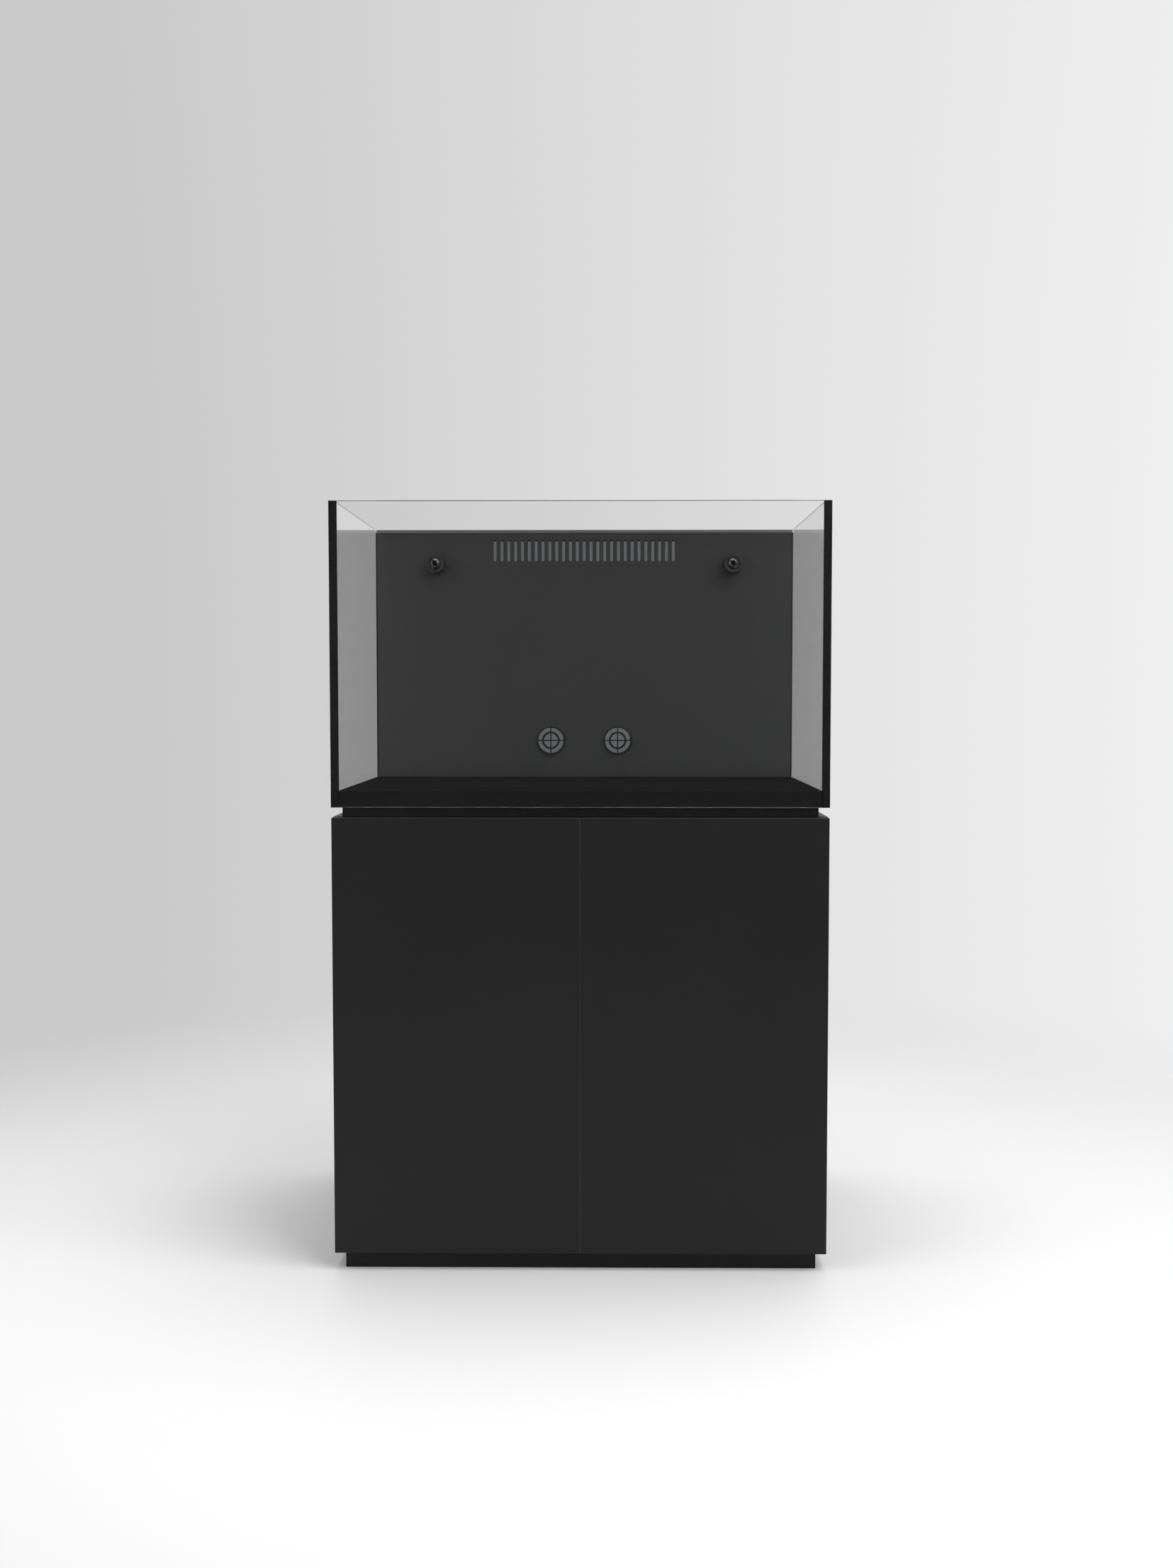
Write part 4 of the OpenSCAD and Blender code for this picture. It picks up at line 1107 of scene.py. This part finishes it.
@dataclass
class FilterCassette:
    """The lift-out rack with its pads and blocks."""

    crown: float = 3.0 * MM
    sponge_crown: float = 0.8 * MM
    crown_share: float = 0.8
    pad_corner: float = 4.0 * MM
    ripple: float = 0.25
    ripple_x: float = 17.0 * MM
    ripple_y: float = 11.0 * MM
    cuts: int = 12
    smoothing: float = 0.4
    block_count: int = 3
    block_holes: int = 3
    hole_radius: float = 7.0 * MM
    hole_steps: int = 40
    gap: float = 1.0 * MM
    sheet: float = 3.0 * MM
    lip: float = 12.0 * MM
    wall_rise: float = 75.0 * MM
    slot_count: int = 12
    slot_inset: float = 6.0 * MM

    def build(self) -> None:
        """Builds the rack, the floss, the sponge and the blocks."""
        self.rack()
        self.pad("filter_floss", "floss_pad", WADDING, self.crown)
        sponge = self.pad("filter_sponge", "sponge_pad", FILTER_FOAM, self.sponge_crown)
        self.blocks()

    def rack(self) -> None:
        """Builds the rack of cemented sheets: sides, back, two slotted plates and their lips."""
        low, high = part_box("cassette_frame")
        media_low, media_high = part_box("filter_floss")
        t = self.sheet
        left, right, inside = low.x + t, high.x - t, low.y + t
        sheets = [
            block(low, (left, high.y, high.z), EASED_EDGE),
            block((right, low.y, low.z), high, EASED_EDGE),
            block(
                (left, high.y - t, low.z), (right, high.y, media_low.z + self.wall_rise),
                EASED_EDGE,
            ),
        ]
        pitch = (right - left) / self.slot_count
        front, back = media_low.y + self.slot_inset, media_high.y - self.slot_inset
        slots = [
            rectangle((x - pitch / 4, front), (x + pitch / 4, back))
            for x in (left + (i + 0.5) * pitch for i in range(self.slot_count))
        ]
        outline = rectangle((left, inside), (right, high.y - t))
        for level in (low.z, media_low.z - t):
            sheets.append(shifted(plate(outline, slots, t, EASED_EDGE), z=level))
            lip_high = (right, inside, level + t + self.lip)
            sheets.append(block((left, low.y, level), lip_high, EASED_EDGE))
        place(joined(sheets), "cassette_rack", CASSETTE_ACRYLIC, ["cassette_frame"], CASSETTE)

    def pad(self, node: str, name: str, finish: Finish, crown: float) -> bpy.types.Object:
        """Builds a soft pad whose top is crowned and whose sides pull in a little.

        Args:
            node: The pad's node.
            name: The piece's name.
            finish: Its finish.
            crown: How far the middle of each side stands above its edges.

        Returns:
            The pad.
        """
        low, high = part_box(node)
        mesh = block(
            low + Vector((crown, crown, 0)), high - Vector((crown, crown, crown)), self.pad_corner
        )
        bmesh.ops.subdivide_edges(mesh, edges=mesh.edges[:], cuts=self.cuts, use_grid_fill=True)
        centre, reach = (low + high) / 2, (high - low) / 2
        for vert in mesh.verts:
            share = Vector(((vert.co[i] - centre[i]) / reach[i] for i in range(3)))
            fall = max(0.0, 1 - share.x**2) * max(0.0, 1 - share.y**2)
            wave = math.sin(vert.co.x / self.ripple_x) * math.cos(vert.co.y / self.ripple_y)
            if share.z > 0:
                lift = math.sqrt(fall) + self.ripple * wave * fall
                vert.co.z += crown * lift * self.crown_share
        bmesh.ops.smooth_vert(
            mesh, verts=mesh.verts[:], factor=self.smoothing, use_axis_x=True, use_axis_y=True,
            use_axis_z=True,
        )
        return place(mesh, name, finish, [node], CASSETTE)

    def blocks(self) -> None:
        """Builds the row of porous blocks with their through holes."""
        low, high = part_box("filter_blocks")
        pitch = (high.x - low.x + 2 * self.gap) / self.block_count
        length = pitch - 2 * self.gap
        hole_pitch, hole_z = length / (self.block_holes + 1), (low.z + high.z) / 2
        meshes = []
        for i in range(self.block_count):
            x0 = low.x + i * pitch
            hole_xs = (x0 + k * hole_pitch for k in range(1, self.block_holes + 1))
            holes = [circle(self.hole_radius, (x, hole_z), self.hole_steps) for x in hole_xs]
            outline = rectangle((x0, low.z), (x0 + length, high.z))
            meshes.append(stood(plate(outline, holes, high.y - low.y, BLUNT_EDGE), low.y))
        place(joined(meshes), "porous_blocks", SINTERED, ["filter_blocks"], CASSETTE)


@dataclass
class Hinge:
    """Details of one door's two concealed hinges: cup flanges, arms, plates and screws."""

    side: Side
    flange_reach: float = 26.0 * MM
    flange_width: float = 12.0 * MM
    flange_thickness: float = 1.0 * MM
    flange_air: float = 0.05 * MM
    flange_lap: float = 1.0 * MM
    rim_radius: float = 19.5 * MM
    screw_reach: float = 22.5 * MM
    screw_set: float = 0.1 * MM
    head_radius: float = 3.6 * MM
    head_height: float = 1.0 * MM
    head_edge: float = 0.12 * MM
    base_inset: float = 0.072 * MM
    base_lap: float = 0.05 * MM
    base_edge: float = 0.1 * MM
    cross_reach: float = 2.16 * MM
    cross_width: float = 1.224 * MM
    cross_depth: float = 0.7 * MM
    arm_width: float = 16.0 * MM
    arm_thickness: float = 10.0 * MM
    arm_face: float = 13.5 * MM
    arm_screw_spots: tuple[float, float] = (10.0 * MM, 34.0 * MM)
    plate_reach: float = 24.0 * MM
    plate_thickness: float = 2.0 * MM
    plate_screw_reach: float = 17.0 * MM
    cheek: float = 2.0 * MM
    cheek_radius: float = 3.5 * MM
    pin_radius: float = 1.5 * MM
    pin_end: float = 0.3 * MM
    pin_edge: float = 0.2 * MM
    pin_to_arm: float = 4.1 * MM

    def build(self) -> None:
        """Builds the details on the door and on the cabinet."""
        self.arms()
        self.cup_flanges()
        self.arm_screws()

    def heights(self) -> tuple[float, float]:
        """The heights of the lower and the upper hinge."""
        low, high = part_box(f"{self.side.word}_hinge_cups")
        return low.z + self.rim_radius, high.z - self.rim_radius

    def cup_flanges(self) -> None:
        """Builds the wings above and below each cup, and their screws."""
        word = self.side.word
        low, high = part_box(f"{word}_hinge_cups")
        cup_x, half = (low.x + high.x) / 2, self.flange_width / 2
        face, top = high.y - self.flange_thickness, high.y - self.flange_air
        wings, screws = [], []
        for z in self.heights():
            for end in (-1, 1):
                near = z + end * (self.rim_radius - self.flange_lap)
                near, far = sorted((near, z + end * self.flange_reach))
                wings.append(
                    block((cup_x - half, face, near), (cup_x + half, top, far), EASED_EDGE, 2)
                )
                spot = (cup_x, high.y - self.screw_set, z + end * self.screw_reach)
                screws.append(facing_y(self.screw_head(), *spot))
        place(joined(wings), f"{word}_cup_flanges", NICKEL, body=f"{word}_door")
        place(joined(screws), f"{word}_cup_screws", ZINC, body=f"{word}_door")

    def arms(self) -> None:
        """Builds the two arms with their cheeks and pins, and the plates under them."""
        arm_low, arm_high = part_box("hinge_arms")
        low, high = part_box("hinge_plates")
        x0, pin_y = low.x + self.plate_thickness, arm_low.y + self.cheek_radius
        pin_x, half = x0 + self.arm_thickness / 2, self.arm_width / 2
        arm_y = pin_y + self.pin_to_arm
        nose = arc(self.cheek_radius, (pin_x, pin_y), math.pi, FULL_TURN, 16)
        tail = arm_y + self.cheek
        cheek = [*nose, (pin_x + self.cheek_radius, tail), (pin_x - self.cheek_radius, tail)]
        arms, plates = [], []
        for z in self.heights():
            end = (x0 + self.arm_thickness, arm_high.y, z + half)
            arms.append(block((x0, arm_y, z - half), end, BLUNT_EDGE))
            for start in (z - half, z + half - self.cheek):
                arms.append(shifted(plate(cheek, [], self.cheek, CRISP_EDGE), z=start))
            reach = half + self.pin_end
            pin = rod(self.pin_radius, z - reach, z + reach, self.pin_edge, 24)
            arms.append(shifted(pin, pin_x, pin_y))
            corner = (x0, high.y, z + self.plate_reach)
            plates.append(block((low.x, low.y, z - self.plate_reach), corner, SOFT_EDGE))
        right = self.side is Side.RIGHT
        for meshes, name, node in (
            (arms, "hinge_arms", "hinge_arms"), (plates, "hinge_arm_plates", "hinge_plates"),
        ):
            nodes = [] if right else [node]
            place(joined(meshes), f"{self.side.word}_{name}", NICKEL, nodes, mirrored=right)

    def screw_head(self) -> Mesh:
        """Builds a low screw head with a cross recess.

        Returns:
            The head along Z, with the middle of its underside at the origin.
        """
        radius, height, depth = self.head_radius, self.head_height, self.cross_depth
        arm, half = self.cross_reach, self.cross_width / 2
        cross = [
            (-arm, -half), (-half, -half), (-half, -arm), (half, -arm), (half, -half), (arm, -half),
            (arm, half), (half, half), (half, arm), (-half, arm), (-half, half), (-arm, half),
        ]
        top = plate(circle(radius, steps=32), [cross], depth, self.head_edge)
        base_high = height - depth + self.base_lap
        base = rod(radius - self.base_inset, 0, base_high, self.base_edge, 32)
        return joined([shifted(top, z=height - depth), base])

    def arm_screws(self) -> None:
        """Builds the screws of the hinge arms and plates, which face the opening."""
        arm_low, arm_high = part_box("hinge_arms")
        low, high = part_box("hinge_plates")
        arm_x, plate_x = -arm_low.x - self.arm_face, high.x - self.plate_thickness
        spots = []
        for z in self.heights():
            spots += [(arm_x, arm_high.y - back, z) for back in self.arm_screw_spots]
            reach = self.plate_screw_reach
            spots += [(plate_x, (low.y + high.y) / 2, z + end) for end in (-reach, reach)]
        sign = self.side.value
        turn = Matrix.Rotation(sign * math.pi / 2, 4, "Z") @ ALONG_Y
        heads = [shifted(moved(self.screw_head(), turn), sign * x, y, z) for x, y, z in spots]
        place(joined(heads), f"{self.side.word}_arm_screws", ZINC)


@dataclass
class Cabinet:
    """The boards, doors and plinth of the cabinet and the riser under the tank."""

    board_edge: float = 0.6 * MM
    door_edge: float = 1.3 * MM
    cup_radius: float = 17.5 * MM
    cup_depth: float = 11.5 * MM
    drill_lap: float = 1.0 * MM
    port_radius: float = 30.0 * MM
    grommet_bore: float = 26.0 * MM
    grommet_lip: float = 2.0 * MM
    grommet_edge: float = 0.6 * MM
    plinth_board: float = 18.0 * MM
    lip_air: float = 0.05 * MM
    lip_clear: float = 0.4 * MM
    lip_inset: float = 0.6 * MM
    lip_depth: float = 3.0 * MM
    bumper_radius: float = 3.5 * MM
    bumper_skirt: float = 0.35

    def build(self) -> None:
        """Builds the doors and every board."""
        for node, name in (
            ("cabinet_top", "top_board"), ("cabinet_left_side", "left_side_board"),
            ("cabinet_right_side", "right_side_board"), ("cabinet_bottom", "bottom_board"),
            ("centre_divider", "divider_board"), ("left_shelf", "left_shelf_board"),
            ("right_shelf", "right_shelf_board"), ("riser", "riser_board"),
        ):
            # The riser takes the darker board: painted shade under the tank.
            finish = SHADED_MELAMINE if node == "riser" else MELAMINE
            place(block(*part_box(node), self.board_edge), name, finish, [node])
        self.plinth()
        self.back_panel()
        for side in Side:
            self.door(side)
            Hinge(side).build()
        self.seam_highlight_lip()
        self.bumpers()

    def plinth(self) -> None:
        """Builds the plinth's four boards."""
        low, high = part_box("plinth")
        t = self.plinth_board
        meshes = [
            block(low, (high.x, low.y + t, high.z), self.board_edge),
            block((low.x, high.y - t, low.z), high, self.board_edge),
        ]
        meshes += [
            block((x, low.y + t, low.z), (x + t, high.y - t, high.z), self.board_edge)
            for x in (low.x, high.x - t)
        ]
        # The plinth takes the darker board: painted shade in the recess under the doors.
        place(joined(meshes), "plinth_boards", SHADED_MELAMINE, ["plinth"])

    def back_panel(self) -> None:
        """Builds the back panel with its two ports, and the grommets in them."""
        low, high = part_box("cabinet_back")
        near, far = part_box("cable_grommets")
        reach, depth = (far.z - near.z) / 2, far.y - near.y
        port_z = (near.z + far.z) / 2
        port_xs = [side.value * (far.x - reach) for side in Side]
        ports = [circle(self.port_radius, (x, port_z)) for x in port_xs]
        outline = rectangle((low.x, low.z), (high.x, high.z))
        board = stood(plate(outline, ports, high.y - low.y, EASED_EDGE), low.y)
        place(board, "back_board", HARDBOARD, ["cabinet_back"])
        lip_start = depth - self.grommet_lip
        profile = [
            (self.grommet_bore, 0), (self.port_radius, 0), (self.port_radius, lip_start),
            (reach, lip_start), (reach, depth), (self.grommet_bore, depth),
        ]
        rings = [facing_y(turned(profile, self.grommet_edge), x, near.y, port_z) for x in port_xs]
        place(joined(rings), "port_grommets", GROMMET_ABS, ["cable_grommets"])

    def door(self, side: Side) -> None:
        """Builds one door with the bores for its hinge cups.

        Args:
            side: The door's side.
        """
        node = f"{side.word}_door"
        low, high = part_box(node)
        cups_low, cups_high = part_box(f"{side.word}_hinge_cups")
        rim = (cups_high.x - cups_low.x) / 2
        mesh = block(low, high, self.door_edge, 4)
        door = place(mesh, f"{node}_panel", DOOR_LAMINATE, [node], node)
        for z in (cups_low.z + rim, cups_high.z - rim):
            drill = rod(self.cup_radius, 0, self.cup_depth + self.drill_lap, 0)
            facing_y(drill, cups_low.x + rim, high.y - self.cup_depth, z)
            data = bpy.data.meshes.new("cutter")
            drill.to_mesh(data)
            drill.free()
            cutter = bpy.data.objects.new("cutter", data)
            bpy.context.scene.collection.objects.link(cutter)
            bore = door.modifiers.new("Cup bore", "BOOLEAN")
            bore.operation, bore.object, bore.solver = "DIFFERENCE", cutter, "EXACT"
            bpy.context.view_layer.objects.active = door
            door.modifiers.move(len(door.modifiers) - 1, 0)
            bpy.ops.object.modifier_apply(modifier=bore.name)
            bpy.data.objects.remove(cutter)
            bpy.data.meshes.remove(data)

    def seam_highlight_lip(self) -> None:
        """Builds the soft lip on the left door's inner edge; its pale colour is a painted highlight
        along the seam between the doors.
        """
        low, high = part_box("left_door")
        right_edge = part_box("right_door")[0].x - self.lip_clear
        front = low.y + self.lip_inset
        # Painted highlight: the pale lip shows in the seam where the door edges would catch light.
        lip = block(
            (high.x + self.lip_air, front, low.z + self.lip_inset),
            (right_edge, front + self.lip_depth, high.z - self.lip_inset), CRISP_EDGE,
        )
        place(lip, "door_lip_painted_highlight", SEAM_HIGHLIGHT_VINYL, body="left_door")

    def bumpers(self) -> None:
        """Builds the domed rubber dots on the divider's front edge."""
        low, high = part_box("door_bumpers")
        radius, depth, skirt = self.bumper_radius, high.y - low.y, self.bumper_skirt
        quarter = arc(1.0, (0, 0), 0, math.pi / 2, 6)[:-1]
        dome = [(radius * x, depth * (skirt + (1 - skirt) * y)) for x, y in quarter]
        profile = [(0.0, 0.0), (radius, 0.0), *dome, (0.0, depth)]
        dots = [
            moved(
                turned(profile, 0, 32),
                Matrix.Translation((x, high.y, z)) @ Matrix.Rotation(math.pi / 2, 4, "X"),
            )
            for x in (low.x + radius, high.x - radius) for z in (low.z + radius, high.z - radius)
        ]
        place(joined(dots), "rubber_bumpers", RUBBER, ["door_bumpers"])


# Nodes that show as the CAD made them.
KEPT: Mapping[Finish, Sequence[str]] = {
    MOULDED_ABS: ("left_nozzle_body", "right_nozzle_body", "return_elbows"),
    NYLON: ("left_seat_ring", "right_seat_ring", "left_impeller", "right_impeller"),
    RUBBER: ("nozzle_gaskets",),
    EXTRUDED_PVC: ("return_pipes",),
    ZINC: ("shelf_pins", "fixing_screws"),
    NICKEL: ("left_hinge_cups", "right_hinge_cups", "left_hinge_links", "right_hinge_links"),
}


# --- Studio ---


@dataclass(frozen=True)
class Lamp:
    """One soft square lamp that faces the middle of the aquarium.

    Attributes:
        name: The lamp's name.
        spot: Where it hangs.
        size: Length of its sides.
        power: Its power in watts.
        aim: The point that it faces.
    """

    name: str
    spot: tuple[float, float, float]
    size: float
    power: float
    aim: tuple[float, float, float] = (0.0, 0.0, 0.9)

    def hang(self) -> None:
        """Makes the lamp and turns it to its aim."""
        data = bpy.data.lights.new(self.name, "AREA")
        data.shape, data.size, data.energy = "SQUARE", self.size, self.power
        lamp = bpy.data.objects.new(self.name, data)
        lamp.location = self.spot
        way = Vector(self.aim) - Vector(self.spot)
        lamp.rotation_euler = way.to_track_quat("-Z", "Y").to_euler()
        bpy.context.scene.collection.objects.link(lamp)


@dataclass
class Studio:
    """Camera, pale floor that fades into a pale backdrop, and soft lights."""

    lens: float = 35.30
    spot: tuple[float, float, float] = (0.0506, -3.0624, 1.0555)
    yaw: float = 0.0091
    pitch: float = 0.0512
    shift: Point = (-0.0049, -0.0074)
    backdrop_left: str = "#c9c9c9"
    backdrop_right: str = "#f0f0f0"
    behind_camera: str = "#464646"
    floor_colour: str = "#e6e6e6"
    floor_radius: float = 6.0
    lamps: tuple[Lamp, ...] = (
        Lamp("key", (1.9, -1.8, 3.1), 2.8, 90),
        Lamp("fill", (-2.6, -2.0, 1.9), 2.6, 42),
        Lamp("top", (0.0, 0.2, 3.3), 2.0, 45),
    )

    def build(self) -> None:
        """Builds the camera, the world, the floor and the lights."""
        self.camera()
        self.world()
        self.floor()
        for lamp in self.lamps:
            lamp.hang()

    def camera(self) -> None:
        """Places the camera at eye height in front of the cabinet."""
        data = bpy.data.cameras.new("view")
        data.lens, data.sensor_width, data.sensor_fit = self.lens, 36.0, "AUTO"
        data.shift_x, data.shift_y = self.shift
        data.clip_end = 100
        camera = bpy.data.objects.new("view", data)
        camera.location = self.spot
        camera.rotation_euler = (math.pi / 2 - self.pitch, 0, self.yaw)
        scene = bpy.context.scene
        scene.collection.objects.link(camera)
        scene.camera = camera
        scene.view_settings.view_transform = "Standard"

    def world(self) -> None:
        """Lights the scene with a backdrop paler to the right, and dark behind the camera."""
        world = bpy.data.worlds.new("studio")
        world.use_nodes = True
        tree = world.node_tree
        tree.nodes.clear()
        way = add_node(tree, "ShaderNodeTexCoord").outputs["Object"]
        parts = add_node(tree, "ShaderNodeSeparateXYZ", links={"Vector": way}).outputs
        across = add_node(
            tree, "ShaderNodeMapRange", {"From Min": -0.3, "From Max": 0.35}, {"Value": parts["X"]}
        ).outputs[0]
        left, right = linear(self.backdrop_left), linear(self.backdrop_right)
        pale = add_node(
            tree, "ShaderNodeMix", {"data_type": "RGBA", 6: left, 7: right}, {0: across}
        ).outputs[2]
        behind = add_node(
            tree, "ShaderNodeMapRange",
            {"From Min": 0.1, "From Max": -0.6, "interpolation_type": "SMOOTHSTEP"},
            {"Value": parts["Y"]},
        ).outputs[0]
        seen = add_node(tree, "ShaderNodeLightPath").outputs["Is Camera Ray"]
        dark = add_node(
            tree, "ShaderNodeMath", {"operation": "SUBTRACT", "use_clamp": True},
            {0: behind, 1: seen},
        ).outputs[0]
        colour = add_node(
            tree, "ShaderNodeMix", {"data_type": "RGBA", 7: linear(self.behind_camera)},
            {0: dark, 6: pale},
        ).outputs[2]
        light = add_node(tree, "ShaderNodeBackground", links={"Color": colour})
        add_node(tree, "ShaderNodeOutputWorld", links={"Surface": light.outputs[0]})
        bpy.context.scene.world = world

    def floor(self) -> None:
        """Lays a pale floor whose far parts fade into the backdrop."""
        mesh = bmesh.new()
        bmesh.ops.create_circle(mesh, cap_ends=True, segments=128, radius=self.floor_radius)
        data = bpy.data.meshes.new("studio_floor")
        mesh.to_mesh(data)
        mesh.free()
        material = bpy.data.materials.new("painted_studio_floor")
        material.use_nodes = True
        tree = material.node_tree
        tree.nodes.clear()
        where = add_node(tree, "ShaderNodeTexCoord").outputs["Object"]
        distance = add_node(
            tree, "ShaderNodeVectorMath", {"operation": "LENGTH"}, {0: where}
        ).outputs["Value"]
        paint = add_node(
            tree, "ShaderNodeBsdfPrincipled",
            {"Base Color": linear(self.floor_colour), "Roughness": 0.6, "Specular IOR Level": 0.1},
        ).outputs[0]
        clear = add_node(tree, "ShaderNodeBsdfTransparent").outputs[0]
        fade = add_node(
            tree, "ShaderNodeMapRange",
            {"From Min": 0.9, "From Max": 2.6, "interpolation_type": "SMOOTHSTEP"},
            {"Value": distance},
        ).outputs[0]
        mix = add_node(tree, "ShaderNodeMixShader", links={0: fade, 1: paint, 2: clear}).outputs[0]
        add_node(tree, "ShaderNodeOutputMaterial", links={"Surface": mix})
        data.materials.append(material)
        floor = bpy.data.objects.new("studio_floor", data)
        bpy.context.scene.collection.objects.link(floor)


def main() -> None:
    """Builds the scene."""
    Studio().build()
    Tank().build()
    RearChamber().build()
    for side in Side:
        Strainer(side).build()
        Nozzle(side).build()
        ReturnLine(side).build()
    FilterCassette().build()
    Cabinet().build()
    for finish, nodes in KEPT.items():
        for node in nodes:
            dress(node, finish)


if __name__ == "__main__":
    main()
